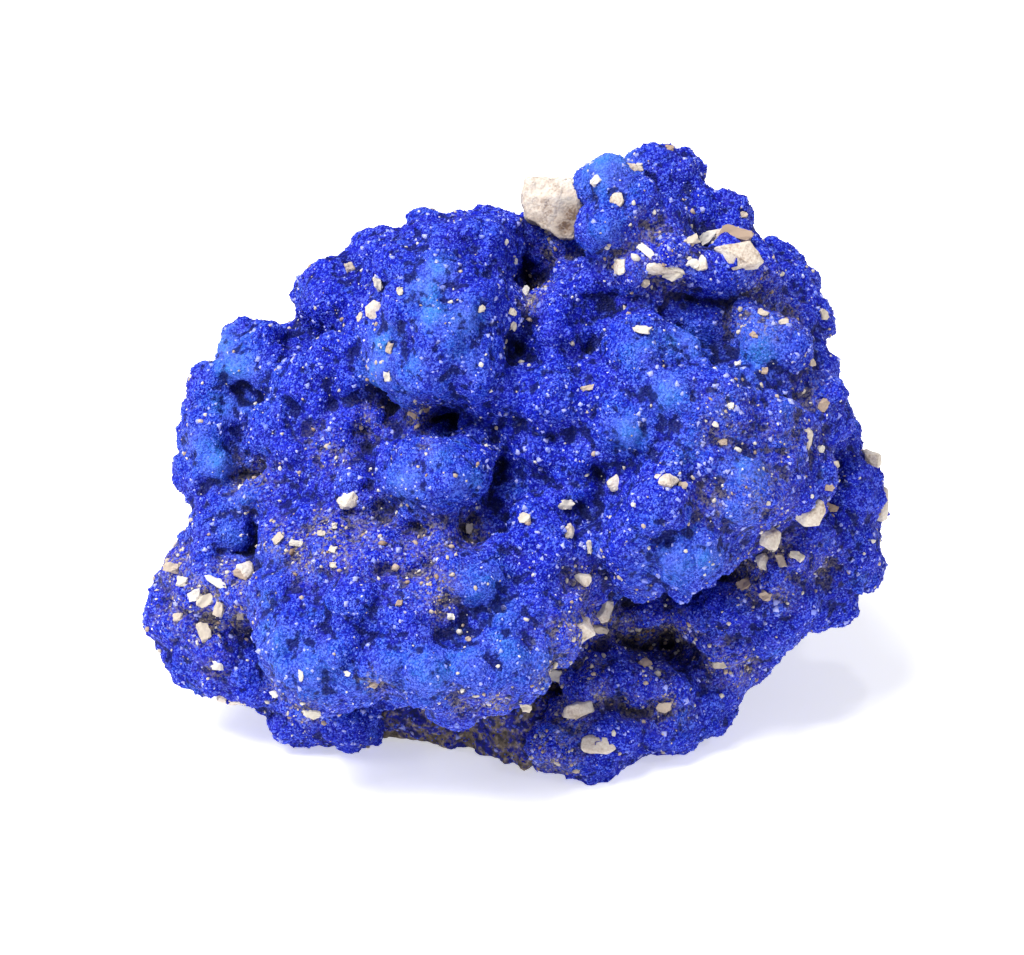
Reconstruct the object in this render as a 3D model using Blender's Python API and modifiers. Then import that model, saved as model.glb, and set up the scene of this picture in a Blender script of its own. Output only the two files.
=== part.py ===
"""Azurite specimen: a lobed azurite cluster grown on pale brown matrix rock, with clay chips set in it.

The specimen stands on its flat-broken matrix. Its lobed face looks forward and up, so each lobe and
chip is placed in the frame of that face, in millimetres: across it, up it, and out of it.
"""

import math
import random

import bmesh
import bpy
from mathutils import Matrix, Vector
from mathutils.bvhtree import BVHTree

MM = 0.001

# Driving dimensions, in millimetres and degrees
FACE_LEAN = 28.0  # how far the lobed face leans back from upright
FLOOR = -11.6  # height of the surface the specimen stands on, in the face's frame
BEYOND = 30.0  # a distance out of the face that is clear of the specimen
GAP = 0.06  # clearance between pieces that touch
ROUGH_GRAIN = 0.55  # voxel of the rough mass that the beads are set on
AZURITE_GRAIN = 0.3  # voxel of the finished azurite
AZURITE_TRIANGLES = 6250  # the azurite is simplified to about this many, before it is cut
SWELL_WIDTH = 2.4  # size of the swells that make the surface uneven
SWELL_HEIGHT = 1.0  # how far they run from their lowest to their highest
SWELL_SINK = 0.28  # how far they lie under the beads and lobes, on average
LOBE_TURN = 24.0  # lobes are turned in the face by this much to one side, by none, or to the other

BACK_CORE = (-0.4, -0.8, -6.6, 10.2, 6.4, 5.6)  # the hidden side's body: place, then half sizes
BACK_LOBES = 30
BACK_LOBE_SIZE = (1.9, 2.9)
BEADS = 340
BEAD_SIZE = (0.8, 1.35)
BEAD_SPACING = 1.5
BEAD_SINK = 0.45  # share of a bead's radius that its centre lies below the surface
CHIP_SINK = 0.02  # share of a chip's thickness that its middle lies below the surface
CHIP_CORNERS = 16
MATRIX_CORNERS = 26

# Bodies and lobes as (across, up, out, half width, half height, half depth)
CORES = [
    (-1.5, -0.6, -5.4, 10.6, 8.2, 6.6),
    (5.2, 0.2, -5.2, 7.2, 8.8, 6.4),
    (-3.6, -3.4, -2.2, 8.2, 6.2, 5.4),
]

LOBES = {
    "left dome": [
        (-3.0, 5.2, 2.0, 3.1, 3.5, 3.5),
        (-2.5, 7.9, 0.9, 2.7, 2.4, 3.0),
        (-4.6, 4.4, 2.3, 1.7, 2.3, 2.3),
        (-3.9, 7.0, 2.2, 1.8, 1.8, 2.0),
        (-1.9, 4.0, 3.2, 1.7, 1.9, 2.0),
    ],
    "behind the left dome": [
        (-3.9, 7.1, -3.0, 2.9, 2.3, 3.4),
        (-1.2, 7.8, -3.0, 2.6, 2.4, 3.2),
        (0.9, 6.7, -3.2, 2.0, 2.2, 3.0),
        (-7.5, 6.3, -3.4, 1.8, 1.6, 2.4),
        (-6.1, 6.5, -3.2, 1.5, 1.3, 2.0),
    ],
    "left shoulder": [
        (-10.4, 3.8, -3.0, 2.1, 1.7, 2.4),
        (-9.2, 4.1, -3.2, 1.4, 1.3, 2.0),
        (-11.8, 2.2, -3.4, 1.9, 1.8, 2.2),
        (-12.4, 0.8, -3.0, 1.6, 1.5, 2.0),
        (-12.4, -0.6, -2.6, 1.7, 1.5, 2.1),
        (-11.8, -2.3, -2.2, 1.6, 1.7, 2.0),
    ],
    "left hollow": [
        (-8.7, 2.5, -1.2, 2.0, 1.5, 2.2),
        (-7.0, 3.6, -0.6, 1.6, 1.5, 1.9),
        (-7.2, 1.3, -0.4, 1.7, 1.2, 1.9),
        (-8.8, 0.2, -0.6, 1.9, 1.3, 2.0),
        (-9.6, -1.6, -0.8, 1.5, 1.3, 1.8),
        (-6.9, -0.4, 0.2, 1.5, 1.0, 1.7),
    ],
    "bud": [
        (-3.2, -0.8, 3.5, 1.85, 1.85, 1.9),
        (-4.4, -1.0, 2.9, 1.1, 1.2, 1.4),
    ],
    "front shelf": [
        (-4.2, -5.9, 2.2, 5.4, 3.2, 3.7),
        (-8.2, -7.6, 3.2, 2.2, 2.1, 2.3),
        (-6.2, -8.0, 4.4, 1.9, 1.7, 2.0),
        (-3.8, -8.1, 4.6, 2.2, 1.8, 2.1),
        (-1.0, -7.8, 4.4, 2.3, 2.1, 2.2),
        (0.6, -6.3, 3.6, 1.8, 2.1, 2.2),
        (-2.6, -9.2, 3.9, 1.5, 1.1, 1.5),
        (-9.6, -5.9, 2.2, 1.3, 1.8, 1.7),
        (-9.0, -3.5, 1.2, 1.5, 1.5, 1.8),
        (-6.8, -3.4, 1.9, 1.9, 1.4, 1.9),
        (-2.0, -4.9, 4.2, 1.7, 1.6, 1.8),
        (-6.0, -5.6, 4.2, 2.0, 1.5, 1.7),
    ],
    "centre": [
        (1.3, 2.5, 2.7, 1.9, 1.8, 1.9),
        (1.6, 5.4, 1.3, 1.9, 1.6, 1.9),
        (-0.4, 5.0, 1.2, 1.5, 1.7, 1.9),
        (-0.6, 2.6, 2.2, 1.5, 1.5, 1.8),
        (-0.5, 0.6, 1.6, 1.6, 1.4, 1.8),
        (2.0, 0.1, 2.2, 1.7, 1.5, 1.9),
        (0.9, -3.6, 2.8, 2.0, 1.9, 2.2),
        (2.3, -4.4, 2.3, 1.4, 1.6, 1.8),
        (2.6, 7.0, 0.9, 1.5, 1.1, 1.7),
    ],
    "right lobe": [
        (7.2, 0.1, 1.0, 4.5, 4.5, 4.3),
        (5.1, 3.6, 2.8, 2.1, 1.9, 2.0),
        (4.7, 1.5, 3.4, 1.9, 1.9, 2.1),
        (7.1, 2.1, 3.7, 2.0, 1.9, 2.1),
        (9.8, 3.9, 1.2, 2.0, 1.9, 2.2),
        (9.4, 0.9, 2.5, 2.2, 2.1, 2.2),
        (11.4, 1.5, 0.2, 1.6, 2.2, 2.0),
        (8.6, -1.3, 3.2, 2.1, 1.9, 2.1),
        (10.7, -1.0, 1.0, 1.7, 1.6, 2.0),
        (5.6, -1.6, 3.6, 2.1, 1.8, 2.1),
        (6.4, -3.4, 3.1, 2.1, 2.0, 2.2),
        (4.0, -3.2, 2.8, 1.7, 2.0, 2.0),
    ],
    "peak": [
        (3.3, 10.8, 1.8, 1.55, 1.4, 1.6),
        (3.4, 9.3, 2.2, 1.7, 1.6, 1.9),
        (5.6, 11.4, -1.0, 1.35, 1.5, 1.6),
        (6.5, 9.9, -1.2, 1.6, 1.5, 2.0),
        (5.3, 9.0, 0.8, 1.9, 1.7, 2.1),
        (7.8, 8.9, -1.4, 1.6, 1.4, 2.0),
    ],
    "upper ledge": [
        (6.6, 7.6, 1.6, 2.6, 1.2, 2.1),
        (8.8, 7.6, 0.9, 1.5, 1.2, 1.9),
        (8.6, 8.2, -1.8, 1.3, 1.2, 1.8),
        (4.4, 7.3, 1.5, 1.4, 1.1, 1.8),
    ],
    "right flank": [
        (10.0, 7.0, -3.4, 1.7, 1.7, 2.4),
        (10.8, 5.3, -3.0, 1.6, 2.0, 2.4),
        (11.4, 3.1, -2.4, 1.4, 2.2, 2.4),
        (11.9, 1.0, -2.0, 1.4, 1.8, 2.1),
        (13.1, -1.2, -2.0, 1.6, 1.7, 2.2),
        (13.2, -3.4, -2.8, 1.6, 1.9, 2.4),
        (11.6, -5.3, -2.8, 1.8, 1.7, 2.2),
        (10.2, -5.7, -1.6, 2.2, 2.0, 2.2),
        (8.2, -6.1, -1.8, 2.1, 1.7, 2.2),
        (9.6, -7.1, -2.4, 1.5, 1.2, 1.8),
        (10.6, -3.4, -0.8, 2.1, 1.7, 2.0),
    ],
    "lower right": [
        (5.0, -9.2, -2.4, 2.4, 1.9, 2.3),
        (1.8, -11.2, -1.2, 1.6, 1.6, 1.8),
        (3.4, -11.2, -1.2, 1.7, 1.5, 1.8),
        (2.3, -11.9, -0.7, 1.6, 1.0, 1.4),
        (5.6, -10.8, -2.0, 1.8, 1.4, 1.9),
        (7.1, -9.9, -2.8, 1.5, 1.5, 2.0),
        (8.2, -8.4, -3.0, 1.3, 1.5, 2.0),
        (3.4, -8.7, -1.4, 1.6, 1.4, 1.9),
    ],
    "lower left": [
        (-13.6, -6.2, -2.0, 1.6, 1.8, 2.0),
        (-13.4, -4.7, -2.2, 1.3, 1.2, 1.7),
        (-13.2, -7.5, -2.1, 1.5, 1.4, 1.9),
        (-12.2, -7.8, -1.9, 1.8, 1.5, 2.1),
        (-10.9, -8.8, -1.9, 1.7, 1.3, 1.9),
        (-8.9, -10.2, -2.8, 1.5, 1.5, 1.9),
        (-7.3, -10.5, -2.8, 1.7, 1.3, 2.0),
        (-11.2, -5.2, -0.9, 1.8, 1.9, 2.0),
    ],
}

# Blocks of the matrix, in the standing frame: (place), (whole size), turn about up in degrees
MATRIX_BLOCKS = [
    ((-3.0, 2.2, -10.6), (8.8, 10.4, 4.8), 8),
    ((-4.0, -0.3, -10.9), (6.4, 5.6, 3.4), -4),
    ((1.4, -1.8, -10.8), (2.6, 5.8, 3.6), -24),
    ((3.4, 3.6, -10.6), (6.4, 7.6, 4.6), 25),
    ((-5.2, 6.0, -9.4), (6.4, 5.8, 5.8), -15),
]

# Clay chips as (across, up, out, width, height, thickness, turn in the face in degrees). Those with no
# place out are set on the surface.
CHIPS = {
    "clay_lump_in_saddle": (1.1, 10.1, -0.6, 2.5, 2.5, 2.6, 20),
    "clay_plate_upper_right": (8.6, 8.1, None, 2.2, 1.3, 0.7, -22),
    "clay_plate_behind": (8.0, 9.0, None, 1.7, 0.8, 0.7, 20),
    "clay_flake_on_peak": (4.2, 11.5, None, 1.4, 0.5, 0.6, 0),
    "clay_grain_on_peak": (3.8, 10.2, None, 0.6, 0.7, 0.6, 0),
    "clay_flake_on_ledge": (5.7, 7.5, None, 1.7, 0.6, 0.8, -8),
    "clay_grain_on_ledge": (4.0, 7.6, None, 0.7, 0.7, 0.7, 10),
    "clay_grain_ledge_right": (7.1, 7.7, None, 0.7, 0.7, 0.7, 40),
    "clay_chip_dome_left": (-5.7, 5.7, None, 0.8, 1.2, 0.8, 10),
    "clay_chip_below_ledge": (8.1, 5.2, None, 0.6, 1.1, 0.7, -20),
    "clay_chip_in_hollow": (-6.8, -1.6, None, 0.9, 0.7, 0.7, 25),
    "clay_grain_centre": (5.7, -0.9, None, 1.0, 1.0, 0.9, 0),
    "clay_grain_centre_left": (3.7, -0.9, None, 0.6, 0.8, 0.6, -20),
    "clay_drop_centre": (1.8, -2.9, None, 0.6, 1.0, 0.6, -15),
    "clay_lump_right": (11.4, -2.0, None, 1.4, 1.3, 1.3, 0),
    "clay_chip_right_lower": (9.9, -3.1, None, 1.1, 0.9, 0.9, -35),
    "clay_chip_right_base": (9.7, -4.1, None, 0.6, 0.8, 0.6, 10),
    "clay_chip_right_edge": (11.3, 0.9, None, 0.5, 1.1, 0.5, -5),
    "clay_chip_shelf_end": (2.2, -6.7, None, 1.6, 1.1, 1.0, 25),
    "clay_chip_shelf_tip": (3.4, -6.0, None, 0.6, 1.1, 0.7, -15),
    "clay_grain_shelf": (2.4, -4.7, None, 0.9, 0.7, 0.7, 10),
    "clay_chip_at_foot": (3.1, -11.4, None, 1.5, 0.9, 0.9, -10),
    "clay_chip_above_foot": (2.3, -10.0, None, 1.4, 0.8, 0.8, 10),
    "clay_chip_left_foot": (-11.6, -9.5, -1.9, 1.5, 0.9, 1.0, -10),
    "clay_chip_left_gap": (-11.0, -4.4, None, 0.8, 0.9, 0.8, 20),
    "clay_chip_flank_upper": (14.2, -0.1, -2.6, 0.9, 1.3, 1.2, 0),
    "clay_chip_flank_lower": (14.6, -1.8, -2.8, 0.8, 1.5, 1.2, 0),
    "clay_chip_lower_edge": (9.2, -8.5, -2.6, 1.3, 1.0, 1.0, 30),
}

# Chips on the hidden side as (across, up, width, height, thickness, turn in degrees)
BACK_CHIPS = {
    "clay_chip_back_upper": (-3.4, 4.2, 2.0, 1.3, 1.0, 20),
    "clay_chip_back_right": (6.8, 3.0, 1.3, 1.7, 1.0, -30),
    "clay_chip_back_left": (-8.2, -0.4, 1.4, 1.1, 0.9, 10),
    "clay_chip_back_centre": (1.6, 0.4, 1.2, 1.5, 0.9, 45),
    "clay_chip_back_low": (5.6, -3.2, 1.6, 1.2, 1.0, -10),
}

GROUND_SLAB = (80.0, 80.0, 20.0)

AZURITE_BLUE = (0.010, 0.028, 0.52, 1.0)
CLAY_CREAM = (0.66, 0.58, 0.49, 1.0)
MATRIX_BROWN = (0.30, 0.24, 0.17, 1.0)


def place(across, up, out):
    """The point, in metres, of a place in the leaning face's frame in millimetres."""
    lean = math.radians(FACE_LEAN)
    depth = up * math.sin(lean) - out * math.cos(lean)
    height = up * math.cos(lean) + out * math.sin(lean)
    return Vector((across, depth, height)) * MM


def face_turn(turn=0.0):
    """Rotation from the face's frame, as (across, in, up), to the standing frame, turned in the face."""
    lean = Matrix.Rotation(math.radians(-FACE_LEAN), 4, "X")
    return lean @ Matrix.Rotation(math.radians(-turn), 4, "Y")


def linked(name, mesh, colour, roughness):
    """An object of this mesh in the specimen's collection, with a material of its own."""
    thing = bpy.data.objects.new(name, mesh)
    bpy.data.collections["azurite specimen"].objects.link(thing)
    finish = bpy.data.materials.new(name)
    finish.use_nodes = True
    shader = finish.node_tree.nodes["Principled BSDF"]
    shader.inputs["Base Color"].default_value = colour
    shader.inputs["Roughness"].default_value = roughness
    mesh.materials.append(finish)
    return thing


def as_mesh(name, build):
    """A mesh made by a function that fills a bmesh."""
    work = bmesh.new()
    build(work)
    mesh = bpy.data.meshes.new(name)
    work.to_mesh(mesh)
    work.free()
    return mesh


def settle(thing):
    """Replaces the object's mesh by the one its modifiers give, and removes them."""
    shown = thing.evaluated_get(bpy.context.evaluated_depsgraph_get())
    mesh = bpy.data.meshes.new_from_object(shown)
    thing.modifiers.clear()
    thing.data = mesh


def surface_tree(thing):
    """What a ray meets on the object's mesh."""
    work = bmesh.new()
    work.from_mesh(thing.data)
    tree = BVHTree.FromBMesh(work)
    work.free()
    return tree


def add_lobe(work, lobe, turn):
    """Adds one ellipsoid, turned in the leaning face."""
    across, up, out, half_width, half_height, half_depth = lobe
    scale = Matrix.Diagonal((half_width * MM, half_depth * MM, half_height * MM, 1.0))
    where = Matrix.Translation(place(across, up, out)) @ face_turn(turn) @ scale
    bmesh.ops.create_icosphere(work, subdivisions=3, radius=1.0, matrix=where)


def back_lobes():
    """Lobes over the hidden half of the back core, spaced by the golden angle."""
    chance = random.Random(3)
    across, up, out, half_width, half_height, half_depth = BACK_CORE
    golden = math.pi * (3 - math.sqrt(5))
    lobes = []
    for i in range(BACK_LOBES):
        inward = (i + 0.5) / BACK_LOBES  # 0 at the rim, 1 at the middle of the back
        rim = math.sqrt(1 - inward * inward)
        angle = golden * i
        size = chance.uniform(*BACK_LOBE_SIZE)
        lobes.append(
            (
                across + half_width * rim * math.cos(angle),
                up + half_height * rim * math.sin(angle),
                out - half_depth * inward,
                size * chance.uniform(0.9, 1.2),
                size * chance.uniform(0.8, 1.0),
                size,
            )
        )
    return lobes


def add_masses(work):
    """Adds every body and lobe. Neighbouring lobes are turned different ways, so none line up."""
    for core in CORES + [BACK_CORE]:
        add_lobe(work, core, 0)
    for region in list(LOBES.values()) + [back_lobes()]:
        for i, lobe in enumerate(region):
            add_lobe(work, lobe, LOBE_TURN * (i % 3 - 1))


def voxel_skin(thing, grain):
    """Joins what overlaps in the object's mesh into one skin."""
    skin = thing.modifiers.new("skin", "REMESH")
    skin.mode = "VOXEL"
    skin.voxel_size = grain * MM


def beads(rough):
    """Small spheres spread over the rough mass, none closer than the spacing."""
    chance = random.Random(11)
    faces = rough.data.polygons
    picks = chance.choices(range(len(faces)), weights=[f.area for f in faces], k=BEADS * 8)
    found = []
    for pick in picks:
        face = faces[pick]
        if len(found) == BEADS:
            break
        if all((face.center - spot).length > BEAD_SPACING * MM for spot, _, _ in found):
            found.append((face.center.copy(), face.normal.copy(), chance.uniform(*BEAD_SIZE)))
    return found


def rough_mass():
    """The lobes joined, as a guide that the beads are set on."""
    rough = helper("rough mass", as_mesh("rough", add_masses))
    voxel_skin(rough, ROUGH_GRAIN)
    settle(rough)
    return rough


def add_bead(work, spot, normal, size):
    """Adds one bead, part sunk at its spot on the surface."""
    centre = spot - normal * (size * BEAD_SINK * MM)
    bmesh.ops.create_icosphere(
        work, subdivisions=2, radius=size * MM, matrix=Matrix.Translation(centre)
    )


def swell(thing):
    """Pushes the surface in and out by soft clouds, and in on average."""
    pattern = bpy.data.textures.new("swells", "CLOUDS")
    pattern.noise_scale = SWELL_WIDTH * MM
    push = thing.modifiers.new("swells", "DISPLACE")
    push.texture = pattern
    push.texture_coords = "LOCAL"
    push.strength = SWELL_HEIGHT * MM
    push.mid_level = 0.5 + SWELL_SINK / SWELL_HEIGHT


def keep_largest(work):
    """Deletes every shell of faces but the largest. Shells that only touch along an edge are parted."""
    left = set(work.faces)
    shells = []
    while left:
        reached = [left.pop()]
        for face in reached:
            for edge in face.edges:
                if len(edge.link_faces) != 2:
                    continue
                for other in edge.link_faces:
                    if other in left:
                        left.remove(other)
                        reached.append(other)
        shells.append(reached)
    shells.sort(key=len)
    for shell in shells[:-1]:
        bmesh.ops.delete(work, geom=shell, context="FACES")


def tidy(thing):
    """Leaves the object as one closed shell of triangles."""
    work = bmesh.new()
    work.from_mesh(thing.data)
    keep_largest(work)
    bmesh.ops.triangulate(work, faces=work.faces[:])
    work.to_mesh(thing.data)
    work.free()


def azurite_body():
    """The blue mass: its lobes and beads as one skin, uneven all over."""
    rough = rough_mass()
    found = beads(rough)

    def fill(work):
        add_masses(work)
        for bead in found:
            add_bead(work, *bead)

    body = linked("azurite", as_mesh("azurite", fill), AZURITE_BLUE, 0.6)
    voxel_skin(body, AZURITE_GRAIN)
    swell(body)
    soften = body.modifiers.new("soften", "SMOOTH")
    soften.iterations = 2
    settle(body)
    tidy(body)
    fewer = body.modifiers.new("fewer faces", "DECIMATE")
    fewer.ratio = AZURITE_TRIANGLES / len(body.data.polygons)
    settle(body)
    return body


def helper(name, mesh):
    """An object that only cuts others, so it isn't a piece of the specimen."""
    thing = bpy.data.objects.new(name, mesh)
    bpy.data.collections["helpers"].objects.link(thing)
    thing.hide_render = True
    thing.display_type = "WIRE"
    return thing


def add_fragment(work, where, size, seed, grow=0.0, count=CHIP_CORNERS, boxy=0.5):
    """Adds the hull of a broken chip of this whole size in millimetres, grown on every side.

    Its corners are scattered on a ball, and drawn out towards a box of that size by the last number.
    """
    chance = random.Random(seed)
    scale = Matrix.Diagonal([(side + 2 * grow) * MM for side in size] + [1.0])
    corners = []
    for _ in range(count):
        p = Vector([chance.gauss(0, 1) for _ in range(3)]).normalized()
        reach = 1 - boxy + boxy * max(abs(x) for x in p)
        corners.append(work.verts.new(where @ scale @ (p * 0.5 / reach)))
    made = bmesh.ops.convex_hull(work, input=corners)
    inside = set(made["geom_interior"] + made["geom_unused"]) & set(corners)
    bmesh.ops.delete(work, geom=list(inside), context="VERTS")


def matrix_pieces(grow=0.0):
    """One mesh for each block of the matrix."""
    for seed, (where, size, turn) in enumerate(MATRIX_BLOCKS):
        at = Matrix.Translation(Vector(where) * MM) @ Matrix.Rotation(math.radians(turn), 4, "Z")
        yield as_mesh(
            "block",
            lambda work: add_fragment(work, at, size, 40 + seed, grow, MATRIX_CORNERS, 0.9),
        )


def cut_by(thing, name, collection):
    """Cuts everything in the collection out of the object."""
    cut = thing.modifiers.new(name, "BOOLEAN")
    cut.operation = "DIFFERENCE"
    cut.operand_type = "COLLECTION"
    cut.collection = collection
    cut.solver = "EXACT"


def matrix_stone(first, blocks):
    """Joins the other blocks to the first, which is an object already."""
    others = bpy.data.collections.new("matrix blocks")
    bpy.context.scene.collection.children.link(others)
    for mesh in blocks[1:]:
        others.objects.link(helper("block", mesh))
    join = first.modifiers.new("join", "BOOLEAN")
    join.operation = "UNION"
    join.operand_type = "COLLECTION"
    join.collection = others
    join.solver = "EXACT"
    settle(first)
    tidy(first)
    return first


def chip_places(body):
    """The name, place and whole size of each clay chip."""
    tree = surface_tree(body)
    inward = (place(0, 0, -1) - place(0, 0, 0)).normalized()

    def on_surface(start, way, thick):
        return tree.ray_cast(start, way)[0] + way * (CHIP_SINK * thick * MM)

    for name, (across, up, out, width, height, thick, turn) in CHIPS.items():
        if out is None:
            spot = on_surface(place(across, up, BEYOND), inward, thick)
        else:
            spot = place(across, up, out)
        yield name, Matrix.Translation(spot) @ face_turn(turn), (width, thick, height)
    for name, (across, up, width, height, thick, turn) in BACK_CHIPS.items():
        spot = on_surface(place(across, up, -BEYOND), -inward, thick)
        yield name, Matrix.Translation(spot) @ face_turn(turn), (width, thick, height)


def set_chips(body, sockets):
    """Makes each chip, and a slightly larger cutter for the socket it lies in."""
    for seed, (name, at, size) in enumerate(list(chip_places(body))):
        linked(name, as_mesh(name, lambda work: add_fragment(work, at, size, seed)), CLAY_CREAM, 0.9)
        hole = as_mesh("socket", lambda work: add_fragment(work, at, size, seed, GAP))
        sockets.objects.link(helper("chip socket", hole))


def ground_cutter(collection):
    """A slab whose top is the surface that the specimen stands on."""
    slab = Matrix.Diagonal([side * MM for side in GROUND_SLAB] + [1.0])
    low = Matrix.Translation(Vector((0, 0, FLOOR - GROUND_SLAB[2] / 2)) * MM)
    mesh = as_mesh("ground", lambda work: bmesh.ops.create_cube(work, size=1.0, matrix=low @ slab))
    collection.objects.link(helper("ground", mesh))


def stand_on_origin(pieces):
    """Hangs the pieces on an empty that brings the middle of the underside to the origin."""
    corners = [vert.co for piece in pieces for vert in piece.data.vertices]
    low = [min(co[i] for co in corners) for i in range(3)]
    high = [max(co[i] for co in corners) for i in range(3)]
    stand = bpy.data.objects.new("specimen", None)
    bpy.data.collections["azurite specimen"].objects.link(stand)
    stand.location = (-(low[0] + high[0]) / 2, -(low[1] + high[1]) / 2, -low[2])
    for piece in pieces:
        piece.parent = stand


def main():
    for thing in list(bpy.data.objects):
        bpy.data.objects.remove(thing)
    for name in ("azurite specimen", "helpers", "sockets", "ground"):
        bpy.context.scene.collection.children.link(bpy.data.collections.new(name))
    sockets = bpy.data.collections["sockets"]
    ground = bpy.data.collections["ground"]

    body = azurite_body()
    blocks = list(matrix_pieces())
    rock = matrix_stone(linked("matrix_rock", blocks[0], MATRIX_BROWN, 0.9), blocks)
    blocks = list(matrix_pieces(GAP))
    sockets.objects.link(matrix_stone(helper("matrix socket", blocks[0]), blocks))
    set_chips(body, sockets)
    ground_cutter(ground)
    for thing in (body, rock):
        cut_by(thing, "flat underside", ground)
    cut_by(body, "sockets", sockets)
    for thing in (body, rock):
        settle(thing)
        tidy(thing)
    stand_on_origin(list(bpy.data.collections["azurite specimen"].objects))


main()
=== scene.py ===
import math

import bpy
import numpy as np
from mathutils import Matrix, Vector
from mathutils.bvhtree import BVHTree
from mathutils.kdtree import KDTree


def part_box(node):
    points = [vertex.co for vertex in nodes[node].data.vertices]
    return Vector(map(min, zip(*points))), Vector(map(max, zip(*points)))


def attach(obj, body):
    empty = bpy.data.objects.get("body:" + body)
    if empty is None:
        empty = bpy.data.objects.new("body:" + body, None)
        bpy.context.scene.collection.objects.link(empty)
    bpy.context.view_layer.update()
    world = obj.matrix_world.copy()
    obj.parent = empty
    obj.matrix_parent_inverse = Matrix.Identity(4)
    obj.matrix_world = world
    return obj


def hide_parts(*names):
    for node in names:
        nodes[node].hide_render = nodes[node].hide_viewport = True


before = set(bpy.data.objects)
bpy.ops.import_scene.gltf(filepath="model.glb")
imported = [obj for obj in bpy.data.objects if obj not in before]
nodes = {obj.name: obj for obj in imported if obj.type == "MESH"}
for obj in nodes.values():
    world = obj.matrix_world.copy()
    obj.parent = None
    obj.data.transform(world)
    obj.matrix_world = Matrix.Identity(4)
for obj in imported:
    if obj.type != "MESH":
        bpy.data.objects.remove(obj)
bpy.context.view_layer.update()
mm = 0.001

# The lobed face looks forward and up. Places on it are in millimetres: across it, up it, out of it.
face = {
    "origin": (0.0001912, -0.0021585, 0.0116),
    "lean": 28.0,
    "clear": 30.0,  # a distance out of the face that is clear of the stone
}


def place(across, up, out):
    lean = math.radians(face["lean"])
    return Vector(face["origin"]) + mm * Vector((
        across,
        up * math.sin(lean) - out * math.cos(lean),
        up * math.cos(lean) + out * math.sin(lean),
    ))


def onFace(spots):
    # across, up and out, in millimetres, of an array of points
    lean = math.radians(face["lean"])
    way = (spots - np.array(face["origin"])) / mm
    up = way[:, 1] * math.sin(lean) + way[:, 2] * math.cos(lean)
    out = way[:, 2] * math.sin(lean) - way[:, 1] * math.cos(lean)
    return np.stack([way[:, 0], up, out], axis=1)


def deselect():
    if bpy.context.object and bpy.context.object.mode != "OBJECT":
        bpy.ops.object.mode_set(mode="OBJECT")
    bpy.ops.object.select_all(action="DESELECT")


def activate(thing):
    deselect()
    thing.select_set(True)
    bpy.context.view_layer.objects.active = thing


def nodeCopy(node, name):
    thing = nodes[node].copy()
    thing.data = nodes[node].data.copy()
    thing.name = name
    thing.data.name = name
    thing.parent = None
    thing.data.materials.clear()
    for key in list(thing.keys()):
        del thing[key]
    bpy.context.scene.collection.objects.link(thing)
    activate(thing)
    bpy.ops.object.mode_set(mode="EDIT")
    bpy.ops.mesh.select_all(action="SELECT")
    bpy.ops.mesh.remove_doubles(threshold=0.001 * mm)
    bpy.ops.object.mode_set(mode="OBJECT")
    return thing


def modify(thing, kind, **settings):
    activate(thing)
    step = thing.modifiers.new(kind.title(), kind)
    for name, value in settings.items():
        setattr(step, name, value)
    bpy.ops.object.modifier_apply(modifier=step.name)


def smoothBelow(thing, degrees):
    activate(thing)
    bpy.ops.object.shade_smooth_by_angle(angle=math.radians(degrees))


def joined(things, name):
    deselect()
    for thing in things:
        thing.select_set(True)
    bpy.context.view_layer.objects.active = things[0]
    bpy.ops.object.join()
    things[0].name = name
    return things[0]


def getPoints(mesh):
    spots = np.empty(len(mesh.vertices) * 3)
    mesh.vertices.foreach_get("co", spots)
    return spots.reshape(-1, 3)


def setPoints(mesh, spots):
    mesh.vertices.foreach_set("co", spots.ravel())
    mesh.update()


def getNormals(mesh):
    ways = np.empty(len(mesh.vertices) * 3)
    mesh.vertex_normals.foreach_get("vector", ways)
    return ways.reshape(-1, 3)


def triangleArrays(mesh):
    mesh.calc_loop_triangles()
    corners = np.empty(len(mesh.loop_triangles) * 3, dtype=np.int32)
    mesh.loop_triangles.foreach_get("vertices", corners)
    return corners.reshape(-1, 3)


def roughen(thing, name, width, height, middle=0.5, depth=3):
    # width in millimetres, height in metres
    pattern = bpy.data.textures.new(name, "CLOUDS")
    pattern.noise_scale = width * mm
    pattern.noise_depth = depth
    modify(thing, "DISPLACE", texture=pattern, strength=height, mid_level=middle, texture_coords="LOCAL")


def addBall(subdivisions, radius, spot=(0.0, 0.0, 0.0)):
    deselect()
    bpy.ops.mesh.primitive_ico_sphere_add(subdivisions=subdivisions, radius=radius, location=spot)
    return bpy.context.object


def addCutCube(cuts):
    deselect()
    bpy.ops.mesh.primitive_cube_add(size=1.0)
    bpy.ops.object.mode_set(mode="EDIT")
    bpy.ops.mesh.select_all(action="SELECT")
    bpy.ops.mesh.subdivide(number_cuts=cuts)
    bpy.ops.object.mode_set(mode="OBJECT")
    return bpy.context.object


def takeShape(thing):
    # the corners and triangles of a shape that is copied many times
    corners, faces = getPoints(thing.data), triangleArrays(thing.data)
    bpy.data.objects.remove(thing)
    return corners, faces


def addField(mesh, name, values):
    field = mesh.attributes.new(name, "FLOAT", "POINT")
    field.data.foreach_set("value", values.astype(np.float32))


def meshFromArrays(name, points, faces):
    mesh = bpy.data.meshes.new(name)
    mesh.vertices.add(len(points))
    mesh.vertices.foreach_set("co", points.ravel())
    mesh.loops.add(faces.size)
    mesh.loops.foreach_set("vertex_index", faces.ravel())
    mesh.polygons.add(len(faces))
    mesh.polygons.foreach_set("loop_start", np.arange(len(faces)) * 3)
    mesh.update(calc_edges=True)
    thing = bpy.data.objects.new(name, mesh)
    bpy.context.scene.collection.objects.link(thing)
    return thing


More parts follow.
